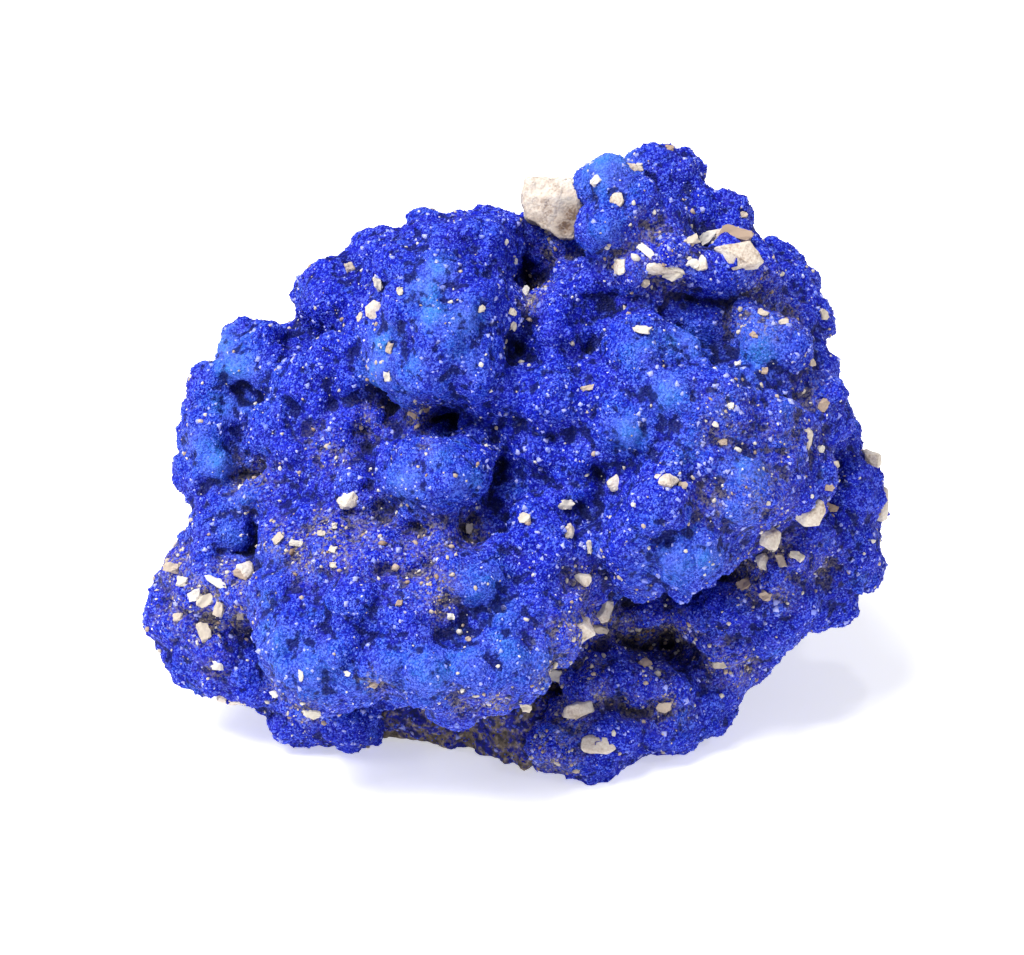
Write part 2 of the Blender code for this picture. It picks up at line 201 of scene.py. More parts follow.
def surfaceSpots(mesh, count, chance, weights=None):
    # places spread over a mesh by area, with the corners and shares that give any field there
    points = getPoints(mesh)
    corners = triangleArrays(mesh)
    a, b, c = (points[corners[:, i]] for i in range(3))
    areas = np.linalg.norm(np.cross(b - a, c - a), axis=1)
    if weights is not None:
        areas = areas * weights[corners].mean(axis=1)
    picks = np.searchsorted(np.cumsum(areas) / areas.sum(), chance.random(count))
    r, s = np.sqrt(chance.random(count)), chance.random(count)
    shares = np.stack([1 - r, r * (1 - s), r * s], axis=1)
    return corners[picks], shares


def valueAt(values, corners, shares):
    if values.ndim == 1:
        return (values[corners] * shares).sum(axis=1)
    return (values[corners] * shares[:, :, None]).sum(axis=1)


nearNothing = 1e-12  # keeps a division from meeting zero


def between(ends, shares):
    return ends[0] + (ends[1] - ends[0]) * shares


def unit(ways):
    return ways / np.maximum(np.linalg.norm(ways, axis=1, keepdims=True), nearNothing)


def chipNames():
    return sorted(name for name in nodes if name.startswith("clay_"))


def edgeArray(mesh):
    edges = np.empty(len(mesh.edges) * 2, dtype=np.int32)
    mesh.edges.foreach_get("vertices", edges)
    return edges.reshape(-1, 2)


def softened(values, edges, rounds):
    # each value moves half way to the mean of its neighbours, again and again
    count = len(values)
    number = np.bincount(edges.ravel(), minlength=count)
    for _ in range(rounds):
        total = np.stack([
            np.bincount(edges[:, 0], values[edges[:, 1], axis], count)
            + np.bincount(edges[:, 1], values[edges[:, 0], axis], count)
            for axis in range(values.shape[1])
        ], axis=1)
        values = (values + total / number[:, None]) / 2
    return values


stone = {
    "coarseGrain": 0.22,  # voxel of the body that the beads are set on
    "grain": 0.13,  # voxel of the skin before it is thinned
    "triangles": 196000,
    "rounding": 5,
    "plugSize": 0.8,  # chips that fill their own sockets, so that the skin closes under them
    "deepen": 0.55,  # how much the creases are deepened, and by how many millimetres at most
    "deepest": 0.55,
    "proudest": 0.12,
    "creaseRounds": 60,  # rounds of softening that give the surface a crease is measured from
    "pressed": 0.35,  # how near to a chip's middle the skin under it ends
    "pressWithin": 0.05,  # skin this near to a chip is pressed under it
    "searchMargin": 0.1,
    "floorGap": 0.16,  # crystals and crumbs keep above this height
    "seed": 4,
}


def deepenCreases(body):
    points, ways = getPoints(body.data), getNormals(body.data)
    around = softened(points, edgeArray(body.data), stone["creaseRounds"])
    rise = ((points - around) * ways).sum(axis=1) * stone["deepen"] / mm
    rise = np.clip(rise, -stone["deepest"], stone["proudest"])
    setPoints(body.data, points + ways * rise[:, None] * mm)


# Knobs that fill hollows too deep for the stone: across, up, out, radius
fillers = {
    "azurite": [
        (0.7, 8.7, -1.9, 1.0), (1.7, 8.7, -1.8, 1.0), (2.4, 8.9, -1.7, 0.9), (1.3, 9.5, -2.6, 1.0),
        (2.2, 9.8, -2.2, 0.9), (6.2, 5.9, 0.5, 1.5), (7.2, 5.2, 0.7, 1.4), (5.6, 6.3, 0.4, 1.2),
        (1.2, 8.4, -1.1, 1.1), (1.9, 8.3, -0.9, 1.0), (0.6, 8.7, -1.0, 1.0), (2.0, 9.0, -1.2, 0.9),
        (8.8, 6.2, -0.3, 1.6), (4.1, 7.7, -1.8, 1.5),
    ],
    "matrix": [
        (-1.2, -10.4, -2.9, 1.2), (-0.6, -10.8, -2.2, 1.1), (-0.6, -11.4, -2.5, 1.0),
        (-0.4, -10.0, -1.6, 1.1), (0.3, -11.3, -1.6, 1.0), (-1.8, -10.8, -3.2, 1.0),
    ],
}


def fillerBalls(part):
    return [addBall(3, size * mm, place(across, up, out)) for across, up, out, size in fillers[part]]


# Shallow dips of the face that are filled: across, up, radius, rise
dips = [
    (-10.8, 0.1, 1.3, 0.8), (-10.9, -2.7, 1.1, 0.5), (-9.6, 1.2, 1.2, 0.4), (-1.6, -2.6, 0.9, 0.6),
    (-5.3, 2.4, 1.0, 0.6), (-8.0, 2.3, 1.1, 0.4),
]


def coarseBody():
    body = nodeCopy("azurite", "coarse_body")
    extras = []
    for name in chipNames():
        plug = nodeCopy(name, "plug")
        spots = getPoints(plug.data)
        middle = spots.mean(axis=0)
        setPoints(plug.data, middle + (spots - middle) * stone["plugSize"])
        extras.append(plug)
    extras += fillerBalls("azurite")
    tree = treeOf(body)
    outward = (place(0, 0, 1) - place(0, 0, 0)) / mm
    for across, up, radius, rise in dips:
        spot, _ = standOn(tree, across, up)
        extras.append(addBall(3, radius * mm, spot + outward * (rise - radius) * mm))
    body = joined([body] + extras, "coarse_body")
    modify(body, "REMESH", mode="VOXEL", voxel_size=stone["coarseGrain"] * mm, adaptivity=0.0)
    modify(body, "SMOOTH", factor=0.5, iterations=stone["rounding"])
    deepenCreases(body)
    carve(body)
    return body


# Where the outline is nudged: across, up, radius, then how far across and up
nudges = [
    (2.0, 10.8, 1.1, 0.5, -0.1), (2.0, 9.4, 1.0, 0.4, 0.0), (8.5, 10.4, 1.3, 0.15, 0.12),
    (12.2, 8.0, 1.6, 0.12, 0.12), (-3.1, 10.6, 1.2, 0.0, -0.55), (-0.9, 10.4, 1.0, 0.0, -0.15),
    (-14.0, -0.4, 1.6, 0.35, 0.0), (-15.0, -6.0, 1.5, 0.3, 0.0), (-12.0, 7.4, 1.2, 0.0, -0.2),
]
# Creases and spots fade away towards the back: where they end, and over what length, in millimetres out
fading = {"creaseEnd": -6.0, "creaseOver": 2.0, "creaseSlope": 0.4, "spotEnd": -7.0, "spotOver": 3.0}
# Dark creases cut into the face: width and depth in millimetres, then places (across, up)
creases = [
    (0.42, 0.3, [(-6.2, 2.5), (-5.2, 1.7), (-3.8, 1.4)]),
    (0.42, 0.8, [(-3.4, 1.5), (-2.4, 1.9), (-1.2, 2.1)]),
    (0.55, 1.2, [(-2.9, 1.7), (-1.9, 1.5), (-1.2, 0.9)]),
    (0.42, 0.7, [(-1.0, 2.4), (-0.6, 3.6), (-0.2, 4.6)]),
    (0.4, 0.7, [(0.4, 5.4), (0.5, 6.6), (0.2, 8.0)]),
    (0.5, 0.5, [(0.2, 8.8), (0.9, 8.2), (1.3, 7.6), (0.7, 6.9)]),
    (0.42, 0.6, [(1.8, 8.2), (2.6, 7.9), (3.6, 8.0)]),
    (0.36, 0.5, [(5.6, 6.7), (6.8, 6.5), (8.0, 6.4), (9.4, 6.7)]),
    (0.3, 0.9, [(-0.5, 4.8)]),
    (0.4, 1.0, [(2.8, 4.3)]),
    (0.34, 0.7, [(1.6, 4.6), (2.3, 4.0)]),
    (0.3, 0.3, [(1.3, 0.8), (2.1, 0.8)]),
    (0.4, 0.9, [(-9.4, 4.9), (-8.9, 5.4)]),
    (0.3, 0.5, [(-10.2, 2.9), (-9.8, 2.8)]),
    (0.45, 0.2, [(-8.8, 2.2), (-7.6, 2.1), (-6.4, 2.2)]),
    (0.4, 0.6, [(-6.2, 1.4), (-5.8, 0.2), (-5.9, -1.0)]),
    (0.36, 0.6, [(-12.8, -0.9), (-11.6, -0.8), (-10.4, -0.8)]),
    (0.42, 0.7, [(-10.6, -1.8), (-10.6, -3.0), (-11.0, -4.0), (-12.0, -3.9)]),
    (0.4, 0.3, [(-5.4, -1.8), (-4.6, -2.6), (-3.0, -2.8), (-1.4, -2.0), (-0.9, -0.8)]),
    (0.36, 0.7, [(-0.8, -0.6), (-0.6, 0.4), (-1.0, 1.2)]),
    (0.36, 0.6, [(0.8, -1.8), (1.6, -2.0), (2.4, -1.8)]),
    (0.3, 0.5, [(3.0, 0.6), (3.1, -1.0), (3.0, -2.6)]),
    (0.34, 0.8, [(3.2, -4.2), (3.6, -5.2)]),
    (0.4, 1.1, [(4.2, -5.7), (5.6, -5.6), (7.2, -5.1), (8.1, -4.5)]),
    (0.55, 1.3, [(8.5, -3.6), (9.4, -3.0), (10.2, -2.2)]),
    (0.3, 0.5, [(-10.4, -5.2), (-10.6, -7.0), (-10.2, -8.6)]),
    (0.36, 0.5, [(-6.0, -7.2), (-6.6, -7.9)]),
    (0.34, 0.5, [(-3.4, -4.2), (-4.4, -4.6), (-5.6, -4.4)]),
    (0.55, 1.3, [(3.4, -7.7), (4.6, -7.6), (5.8, -7.5)]),
    (0.34, 0.8, [(1.4, -8.0), (0.8, -9.0), (-0.4, -10.0)]),
    (0.4, 0.7, [(3.4, -9.8), (4.4, -10.2)]),
]


def carve(thing):
    # dark creases run into the face, along straight stretches between their places
    points = getPoints(thing.data)
    where = onFace(points)
    inward = np.array(place(0, 0, -1) - place(0, 0, 0)) / mm
    push = np.zeros(len(points))
    for width, depth, path in creases:
        path = np.array(path)
        ends = path[1:] if len(path) > 1 else path
        for start, end in zip(path, ends):
            along = end - start
            share = ((where[:, :2] - start) @ along) / max(along @ along, nearNothing)
            nearest = start + np.clip(share, 0, 1)[:, None] * along
            far = ((where[:, :2] - nearest) ** 2).sum(axis=1)
            push = np.maximum(push, depth * np.exp(-far / width ** 2))
    shown = np.clip((where[:, 2] - fading["creaseEnd"]) / fading["creaseOver"], 0.0, 1.0)
    shown = shown * np.clip(-getNormals(thing.data) @ inward + fading["creaseSlope"], 0, 1)
    points = points + inward * (push * shown * mm)[:, None]
    rightward, upward = (np.array(place(*way) - place(0, 0, 0)) for way in ((1, 0, 0), (0, 1, 0)))
    for across, up, radius, right, rise in nudges:
        share = np.exp(-((where[:, 0] - across) ** 2 + (where[:, 1] - up) ** 2) / radius ** 2)[:, None]
        points = points + share * (rightward * right + upward * rise)
    setPoints(thing.data, points)


def treeOf(thing):
    mesh = thing.data
    return BVHTree.FromPolygons([v.co for v in mesh.vertices], [list(p.vertices) for p in mesh.polygons])


def standOn(tree, across, up):
    # the place on the skin that lies under a place of the face, and the way out of it
    way = place(0, 0, -1) - place(0, 0, 0)
    spot, normal, _, _ = tree.ray_cast(place(across, up, face["clear"]), way)
    return spot, normal


# Beads that stand out by name: across, up, radius, how pale and powdery
knobs = [
    # left dome
    (-3.2, 7.4, 0.46, 1.0), (-3.6, 6.7, 0.6, 1.0), (-3.4, 5.7, 0.54, 1.0), (-2.2, 5.5, 0.54, 1.0),
    (-2.0, 3.9, 0.62, 0.6), (-2.8, 4.8, 0.42, 0.6), (-5.4, 4.6, 0.52, 1.0), (-5.6, 3.5, 0.55, 1.0),
    (-4.1, 3.7, 0.52, 0.7), (-3.1, 2.7, 0.52, 0.4), (-4.6, 2.6, 0.52, 0.5), (-1.6, 2.6, 0.42, 0.2),
    # bud
    (-4.4, -0.9, 0.55, 1.0), (-3.2, 0.1, 0.54, 0.6), (-2.2, -0.8, 0.52, 0.6), (-3.6, -1.6, 0.5, 0.4),
    (-2.6, -1.8, 0.46, 0.2), (-4.0, 0.2, 0.46, 0.3),
    # left shoulder
    (-11.6, 2.2, 0.5, 1.2), (-12.1, 0.0, 0.62, 1.0), (-11.4, 3.6, 0.7, 1.0), (-11.9, 4.5, 0.7, 0.9),
    (-13.0, 0.6, 0.6, 0.8), (-11.2, -1.6, 0.55, 0.6), (-11.6, -3.2, 0.62, 0.6), (-9.8, 2.0, 0.5, 0.3),
    # front shelf
    (-9.5, -7.1, 0.66, 0.7), (-8.0, -8.2, 1.05, 0.7), (-9.2, -8.3, 0.62, 0.6), (-3.6, -8.3, 0.98, 0.7),
    (-2.0, -7.8, 0.8, 0.7), (-5.0, -8.0, 0.66, 0.6), (-1.6, -5.0, 0.8, 0.6), (-0.8, -5.8, 0.62, 0.6),
    (-0.4, -7.6, 0.92, 0.6), (0.8, -7.8, 0.64, 0.6), (-10.1, -5.6, 0.42, 0.6), (-9.8, -4.0, 0.52, 0.5),
    (-7.8, -6.0, 0.5, 0.4), (-5.6, -6.4, 0.5, 0.3), (-6.2, -8.9, 0.55, 0.6),
    # right lobes and peak
    (4.2, 1.1, 0.58, 1.0), (5.6, 2.6, 0.68, 0.9), (6.6, 4.6, 0.64, 0.8), (4.8, 4.4, 0.62, 0.6),
    (9.4, 4.4, 0.92, 0.8), (8.8, -0.4, 0.68, 0.8), (6.0, -4.0, 0.78, 0.8), (7.2, -3.8, 0.62, 0.8),
    (4.8, -4.6, 0.56, 0.4), (3.4, 11.5, 0.82, 1.1), (3.2, 9.0, 0.66, 0.5), (7.6, 2.0, 0.6, 0.4),
    (6.6, 0.8, 0.6, 0.4), (8.4, -2.0, 0.6, 0.5), (10.4, 2.2, 0.6, 0.4), (5.0, -2.6, 0.6, 0.3),
]
# How far a named bead is sunk and how far its powder spreads, as shares of its radius
knobLook = {"sink": 0.52, "paleSpread": 1.6}


def namedKnobs(body):
    tree = treeOf(body)
    sites = []
    for across, up, size, _ in knobs:
        spot, normal = standOn(tree, across, up)
        if spot:
            sites.append((np.array(spot - normal * size * knobLook["sink"] * mm), size))
    return sites


def chipTree():
    points, faces = [], []
    for name in chipNames():
        mesh = nodes[name].data
        start = len(points)
        points += [v.co.copy() for v in mesh.vertices]
        faces += [[start + i for i in p.vertices] for p in mesh.polygons]
    return BVHTree.FromPolygons(points, faces)


# Beads of two sizes on the azurite and one on the rock: radius, spacing, share of the radius that is sunk
beads = {
    "large": {"count": 3300, "size": (0.34, 0.58), "spacing": 0.58, "sink": 0.56, "seed": 21},
    "small": {"count": 3600, "size": (0.16, 0.30), "spacing": 0.40, "sink": 0.50, "seed": 22},
    "rock": {"count": 500, "size": (0.30, 0.60), "spacing": 0.62, "sink": 0.45, "seed": 23},
    "tries": 5,  # places tried for each bead
    "smallerOften": 1.6,  # above one, small beads are the more common
    "uneven": 0.12,
    "nearChips": 0.8,  # share of its radius that a bead keeps from a chip, and millimetres on top
    "clearOfChips": 0.10,
}
# Places that beads leave free: across, up, radius
bare = [(2.3, 10.6, 0.9), (2.2, 9.6, 0.8), (2.4, 8.9, 0.6), (2.4, 11.6, 0.8)]


def beadSites(body, chips, kind):
    chance = np.random.default_rng(kind["seed"])
    corners, shares = surfaceSpots(body.data, kind["count"] * beads["tries"], chance)
    spots = valueAt(getPoints(body.data), corners, shares)
    ways = unit(valueAt(getNormals(body.data), corners, shares))
    sizes = between(kind["size"], chance.random(len(spots)) ** beads["smallerOften"])
    cell = kind["spacing"] * mm
    homes = np.floor(spots / cell).astype(int)
    around = [(i, j, k) for i in (-1, 0, 1) for j in (-1, 0, 1) for k in (-1, 0, 1)]
    taken, sites = {}, []
    where = onFace(spots)
    kept = np.ones(len(spots), dtype=bool)
    for across, up, radius in bare:
        kept &= np.hypot(where[:, 0] - across, where[:, 1] - up) > radius
    spots, ways, sizes, homes = spots[kept], ways[kept], sizes[kept], homes[kept]
    for spot, way, size, (x, y, z) in zip(spots, ways, sizes, homes.tolist()):
        near = [other for i, j, k in around for other in taken.get((x + i, y + j, z + k), ())]
        if near and ((np.array(near) - spot) ** 2).sum(axis=1).min() < cell * cell:
            continue
        gap = chips.find_nearest(Vector(spot))[3]
        if gap < (size * beads["nearChips"] + beads["clearOfChips"]) * mm:
            continue
        taken.setdefault((x, y, z), []).append(spot)
        sites.append((spot - way * size * mm * kind["sink"], size))
        if len(sites) == kind["count"]:
            break
    return sites


def setBeads(sites, chance):
    ball, faces = takeShape(addBall(2, 1.0))
    points, cells = [], []
    for i, (spot, size) in enumerate(sites):
        shape = ball * (1 + beads["uneven"] * (chance.random((1, 3)) - 0.5)) * size * mm
        points.append(shape + spot)
        cells.append(faces + i * len(ball))
    return meshFromArrays("beads", np.concatenate(points), np.concatenate(cells))


def pressUnderChips(skin):
    # the skin dips into each chip, so that the chip covers it
    points = getPoints(skin.data)
    finder = KDTree(len(points))
    for i, spot in enumerate(points):
        finder.insert(spot, i)
    finder.balance()
    covered = np.zeros(len(points))
    for name in chipNames():
        low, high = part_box(name)
        middle = (low + high) / 2
        tree = treeOf(nodes[name])
        for spot, i, _ in finder.find_range(middle, (high - low).length / 2 + stone["searchMargin"] * mm):
            nearest, way, _, gap = tree.find_nearest(spot)
            if way.dot(spot - nearest) < 0 or gap < stone["pressWithin"] * mm:
                points[i] = middle + (spot - middle) * stone["pressed"]
                covered[i] = 1.0
    setPoints(skin.data, points)
    return covered


def keepAboveFloor(thing):
    points = getPoints(thing.data)
    points[:, 2] = np.maximum(points[:, 2], 0.0)
    setPoints(thing.data, points)


def awayFromFloor(points):
    return (points[:, 2] > stone["floorGap"] * mm).astype(float)


# Where clay dust and grains gather: across, up, radius, strength
dustSpots = [
    (-9.5, -3.1, 0.6, 1.0), (-8.8, -3.3, 0.5, 1.0), (-7.6, -2.8, 0.7, 1.0), (-7.2, -3.6, 0.7, 0.9),
    (-8.4, -4.0, 0.7, 0.7), (-6.0, -3.0, 1.4, 0.5), (-3.3, -3.0, 0.9, 0.7), (-2.0, -2.7, 0.6, 0.8),
    (-3.2, -4.9, 0.9, 0.9), (-3.2, -6.0, 0.5, 0.6), (-5.7, -8.6, 0.5, 0.8), (-4.0, -3.9, 1.2, 0.5),
    (-14.0, -4.2, 0.8, 0.9), (-13.2, -5.4, 0.8, 1.0), (-12.4, -5.6, 0.8, 1.0), (-12.6, -6.8, 0.8, 0.9),
    (-11.6, -4.8, 0.8, 0.9), (-13.9, -6.4, 0.7, 0.7), (-12.2, -8.2, 0.6, 0.7), (-11.4, -6.2, 0.8, 0.7),
    (-6.0, 1.6, 0.7, 0.7), (-4.0, 1.7, 0.5, 0.9), (-3.6, 0.6, 0.4, 0.4), (-10.8, -0.8, 0.9, 0.6),
    (-7.6, 0.4, 1.0, 0.4), (0.6, 6.8, 0.5, 1.0), (1.4, 8.6, 0.7, 0.7), (0.4, 6.2, 0.4, 0.8),
    (4.0, 7.8, 0.7, 0.6), (5.6, 7.8, 1.2, 0.7), (5.2, 9.0, 0.8, 0.5), (9.6, 7.0, 0.7, 0.7),
    (8.6, 5.6, 0.7, 0.6), (9.8, 5.4, 0.6, 0.7), (10.6, 5.8, 0.8, 0.5), (8.0, 1.4, 1.2, 0.45),
    (10.6, 0.8, 1.3, 0.45), (11.6, 2.6, 0.9, 0.45), (9.6, -1.4, 1.2, 0.6), (7.6, -1.6, 1.0, 0.4),
    (10.4, -3.8, 0.9, 0.7), (9.2, -4.8, 0.9, 0.8), (10.4, -5.2, 0.8, 0.6), (12.0, -4.2, 0.9, 0.5),
    (2.4, -4.8, 0.6, 0.8), (2.2, -6.8, 1.0, 1.0), (3.4, -6.4, 0.8, 0.8), (4.8, -6.8, 1.0, 1.0),
    (6.2, -7.0, 0.9, 0.9), (2.8, -8.4, 0.6, 1.0), (3.2, -9.3, 0.5, 1.0), (4.4, -9.8, 0.5, 0.9),
    (1.4, -8.6, 0.8, 0.9), (1.8, -10.2, 1.0, 0.8), (0.8, -11.0, 1.0, 1.0), (1.4, -12.0, 0.9, 1.0),
    (5.8, -9.8, 0.9, 0.7), (8.8, -8.4, 0.8, 0.9), (8.0, -8.0, 0.8, 0.7), (5.4, -8.6, 0.8, 0.5),
    (-1.0, -9.6, 0.6, 0.9), (-2.4, -9.6, 0.6, 0.6), (-8.6, -10.0, 0.7, 0.9), (-9.8, -9.2, 0.5, 0.8),
]
# Where more crystals are painted as glints: across, up, radius, strength
gleamSpots = [
    (6.2, 7.8, 1.9, 1.0), (0.1, 6.8, 1.2, 1.0), (9.2, 6.9, 1.5, 0.8), (2.6, 2.2, 1.6, 0.6),
    (4.6, 10.4, 1.3, 0.8), (10.4, 3.0, 2.0, 0.7), (-6.2, -2.6, 1.8, 0.5), (-1.2, 1.0, 1.4, 0.8),
    (6.6, -2.4, 1.6, 0.5), (1.8, -4.0, 1.4, 0.6),
]


def spotField(points, spots):
    # named spots on the front, as seen from out of the face
    where = onFace(points)
    total = np.zeros(len(points))
    for across, up, radius, strength in spots:
        far = (where[:, 0] - across) ** 2 + (where[:, 1] - up) ** 2
        total = np.maximum(total, strength * np.exp(-far / radius ** 2))
    return total * np.clip((where[:, 2] - fading["spotEnd"]) / fading["spotOver"], 0.0, 1.0)


# Width and height of the skin's roughness, and rounds of softening that its crests are measured from
relief = {
    "lump": (0.75, 0.22),
    "grain": (0.28, 0.18),
    "middle": 0.42,  # below one half, the skin grows outward a little
    "nearRounds": 18,
    "farRounds": 110,
}


def reliefFields(skin):
    # how far each point stands out of the skin around it, on a small and a large scale
    mesh = skin.data
    points, ways = getPoints(mesh), getNormals(mesh)
    edges = edgeArray(mesh)
    near = softened(points, edges, relief["nearRounds"])
    far = softened(near, edges, relief["farRounds"])
    small = ((points - near) * ways).sum(axis=1) / mm
    large = ((near - far) * ways).sum(axis=1) / mm
    return small, large


def azuriteSkin():
    chance = np.random.default_rng(stone["seed"])
    skin = coarseBody()
    print("coarse body", len(skin.data.polygons))
    chips = chipTree()
    for size in ("large", "small"):
        sites = beadSites(skin, chips, beads[size])
        if size == "large":
            sites += namedKnobs(skin)
        print(size, "beads", len(sites))
        skin = joined([skin, setBeads(sites, chance)], "azurite_skin")
        modify(skin, "REMESH", mode="VOXEL", voxel_size=stone["grain"] * mm, adaptivity=0.0)
        modify(skin, "SMOOTH", factor=0.5, iterations=1)
    for name in ("lump", "grain"):
        width, height = relief[name]
        roughen(skin, name, width, height * mm, relief["middle"], 2)
    print("skin before it is thinned", len(skin.data.polygons))
    modify(skin, "TRIANGULATE")
    modify(skin, "DECIMATE", ratio=min(1.0, stone["triangles"] / len(skin.data.polygons)))
    covered = pressUnderChips(skin)
    keepAboveFloor(skin)
    activate(skin)
    bpy.ops.object.shade_smooth()
    small, large = reliefFields(skin)
    points = getPoints(skin.data)
    powder = [(across, up, size * knobLook["paleSpread"], pale) for across, up, size, pale in knobs]
    fields = {
        "crest": small,
        "swell": large,
        "pale": spotField(points, powder),
        "dust": spotField(points, dustSpots),
        "gleam": spotField(points, gleamSpots),
    }
    for name, values in fields.items():
        addField(skin.data, name, values)
    print("skin", len(skin.data.polygons))
    return skin, fields | {"covered": covered}


def randomTurns(count, chance):
    q = unit(chance.normal(size=(count, 4)))
    w, x, y, z = q.T
    return np.stack([
        1 - 2 * (y * y + z * z), 2 * (x * y - z * w), 2 * (x * z + y * w),
        2 * (x * y + z * w), 1 - 2 * (x * x + z * z), 2 * (y * z - x * w),
        2 * (x * z - y * w), 2 * (y * z + x * w), 1 - 2 * (x * x + y * y),
    ], axis=1).reshape(-1, 3, 3)


def copies(shape, faces, spots, turns, scales, chance, uneven):
    # one shape at many places, each turned, scaled and a little out of true
    count = len(spots)
    corners = shape[None] * (1 + uneven * (chance.random((count, len(shape), 1)) - 0.5))
    corners = corners * scales[:, None, :]
    corners = np.einsum("nij,nkj->nki", turns, corners) + spots[:, None, :]
    cells = faces[None] + (np.arange(count) * len(shape))[:, None, None]
    return corners.reshape(-1, 3), cells.reshape(-1, 3)


def giveGridMap(thing, count, facesEach):
    # each small piece has its own cell of the baked picture
    side = math.ceil(math.sqrt(count))
    index = np.repeat(np.arange(count), facesEach * 3)
    corner = np.tile([(0.2, 0.2), (0.8, 0.2), (0.5, 0.8)], (count * facesEach, 1))
    spots = (np.stack([index % side, index // side], axis=1) + corner) / side
    layer = thing.data.uv_layers.new(name="OFBake")
    layer.data.foreach_set("uv", spots.ravel().astype(np.float32))


# Crystals: how many a part holds, their half width, their length as a share of it, and the share that is sunk
druse = {
    "blocks": {"parts": 3, "perPart": 24800, "size": (0.045, 0.100), "long": (0.7, 1.4), "sink": 0.30},
    "splinters": {"parts": 1, "perPart": 49000, "size": (0.030, 0.060), "long": (0.8, 1.5), "sink": 0.2},
    "rock": {"parts": 1, "perPart": 8000, "size": (0.045, 0.110), "long": (0.7, 1.4), "sink": 0.30},
    "uneven": 0.4,
    "brightFrom": 0.955,
    "brightGrowth": 1.7,  # the crystals painted as glints are the largest
    "gleam": 0.07,  # how many more are painted as glints in the gleam spots
    "onCrests": 4,  # how much thicker they grow on crests, and the thinnest and thickest growth
    "growth": (0.4, 1.5),
    "spareOnPowder": 0.25,  # how much of the druse a pale, powdery bead goes without
    "seed": 7,
}


def druseParts(skin, fields, kinds):
    # small crystals grown all over a skin
    chance = np.random.default_rng(druse["seed"])
    points, ways = getPoints(skin.data), getNormals(skin.data)
    weights = np.clip(1 + fields["crest"] * druse["onCrests"], *druse["growth"]) * (1 - fields["covered"])
    weights = weights * (1 - druse["spareOnPowder"] * np.clip(fields["pale"], 0, 1)) * awayFromFloor(points)
    block = np.array([
        (0.9, 0.1, -0.5), (-0.4, 0.8, -0.5), (-0.6, -0.7, -0.5),
        (0.7, -0.3, 0.6), (0.1, 0.8, 0.7), (-0.8, -0.2, 0.5),
    ])
    blockFaces = np.array([
        (0, 2, 1), (3, 4, 5), (0, 1, 4), (0, 4, 3), (1, 2, 5), (1, 5, 4), (2, 0, 3), (2, 3, 5),
    ])
    splinter = np.array([(1, 0, -0.4), (-0.5, 0.87, -0.4), (-0.5, -0.87, -0.4), (0, 0, 0.9)])
    splinterFaces = np.array([(0, 1, 3), (1, 2, 3), (2, 0, 3), (0, 2, 1)])
    parts = []
    for kindName in kinds:
        kind = druse[kindName]
        shape, faces = (splinter, splinterFaces) if kindName == "splinters" else (block, blockFaces)
        for part in range(kind["parts"]):
            count = kind["perPart"]
            corners, shares = surfaceSpots(skin.data, count, chance, weights)
            spots = valueAt(points, corners, shares)
            outward = unit(valueAt(ways, corners, shares))
            tint = chance.random(count)
            size = between(kind["size"], chance.random(count) ** 2)
            # crystals painted as glints are also made larger
            bright = tint + druse["gleam"] * valueAt(fields["gleam"], corners, shares) > druse["brightFrom"]
            size = size * np.where(bright, druse["brightGrowth"], 1.0)
            spots = spots - outward * (size * kind["sink"] * mm)[:, None]
            long = between(kind["long"], chance.random(count))
            scales = np.stack([size, size, size * long], axis=1) * mm
            turns = randomTurns(count, chance)
            made, cells = copies(shape, faces, spots, turns, scales, chance, druse["uneven"])
            thing = meshFromArrays(f"druse_{kindName}_{part + 1}", made, cells)
            for name in ("crest", "swell", "pale", "dust", "gleam"):
                addField(thing.data, name, np.repeat(valueAt(fields[name], corners, shares), len(shape)))
            addField(thing.data, "tint", np.repeat(tint, len(shape)))
            giveGridMap(thing, count, len(faces))
            keepAboveFloor(thing)
            parts.append(thing)
            print(thing.name, len(thing.data.polygons))
    return parts


def plainFields(thing):
    count = len(thing.data.vertices)
    values = {"crest": 0.1, "swell": 0.0, "covered": 0.0, "pale": 0.0, "dust": 0.3, "gleam": 0.0}
    return {name: np.full(count, value) for name, value in values.items()}


# Loose grains of clay: radius of the many and of the few large ones
crumbs = {
    "count": 3400,
    "size": (0.030, 0.11),
    "largeShare": 0.03,
    "large": (0.10, 0.18),
    "background": 0.5,  # how many lie outside the dusty spots
    "onDust": 4,
    "smallerOften": 2.5,  # above one, small crumbs are the more common
    "leastSide": 0.6,  # the shortest side as a share of the size, and how much longer a side may be
    "sideRange": 0.8,
    "uneven": 0.6,
    "seed": 33,
}


def clayCrumbs(skin, fields):
    chance = np.random.default_rng(crumbs["seed"])
    shape, faces = takeShape(addBall(1, 1.0))
    count = crumbs["count"]
    points = getPoints(skin.data)
    weights = crumbs["background"] + crumbs["onDust"] * fields["dust"]
    weights = weights * (1 - fields["covered"]) * awayFromFloor(points)
    corners, shares = surfaceSpots(skin.data, count, chance, weights)
    spots = valueAt(points, corners, shares)
    size = between(crumbs["size"], chance.random(count) ** crumbs["smallerOften"])
    large = chance.random(count) < crumbs["largeShare"]
    size[large] = between(crumbs["large"], chance.random(large.sum()))
    sides = crumbs["leastSide"] + crumbs["sideRange"] * chance.random((count, 3))
    turns = randomTurns(count, chance)
    made, cells = copies(shape, faces, spots, turns, size[:, None] * sides * mm, chance, crumbs["uneven"])
    thing = meshFromArrays("clay_crumbs", made, cells)
    addField(thing.data, "tint", np.repeat(chance.random(count), len(shape)))
    addField(thing.data, "dust", np.repeat(valueAt(fields["dust"], corners, shares), len(shape)))
    giveGridMap(thing, count, len(faces))
    keepAboveFloor(thing)
    print("crumbs", len(thing.data.polygons))
    return thing


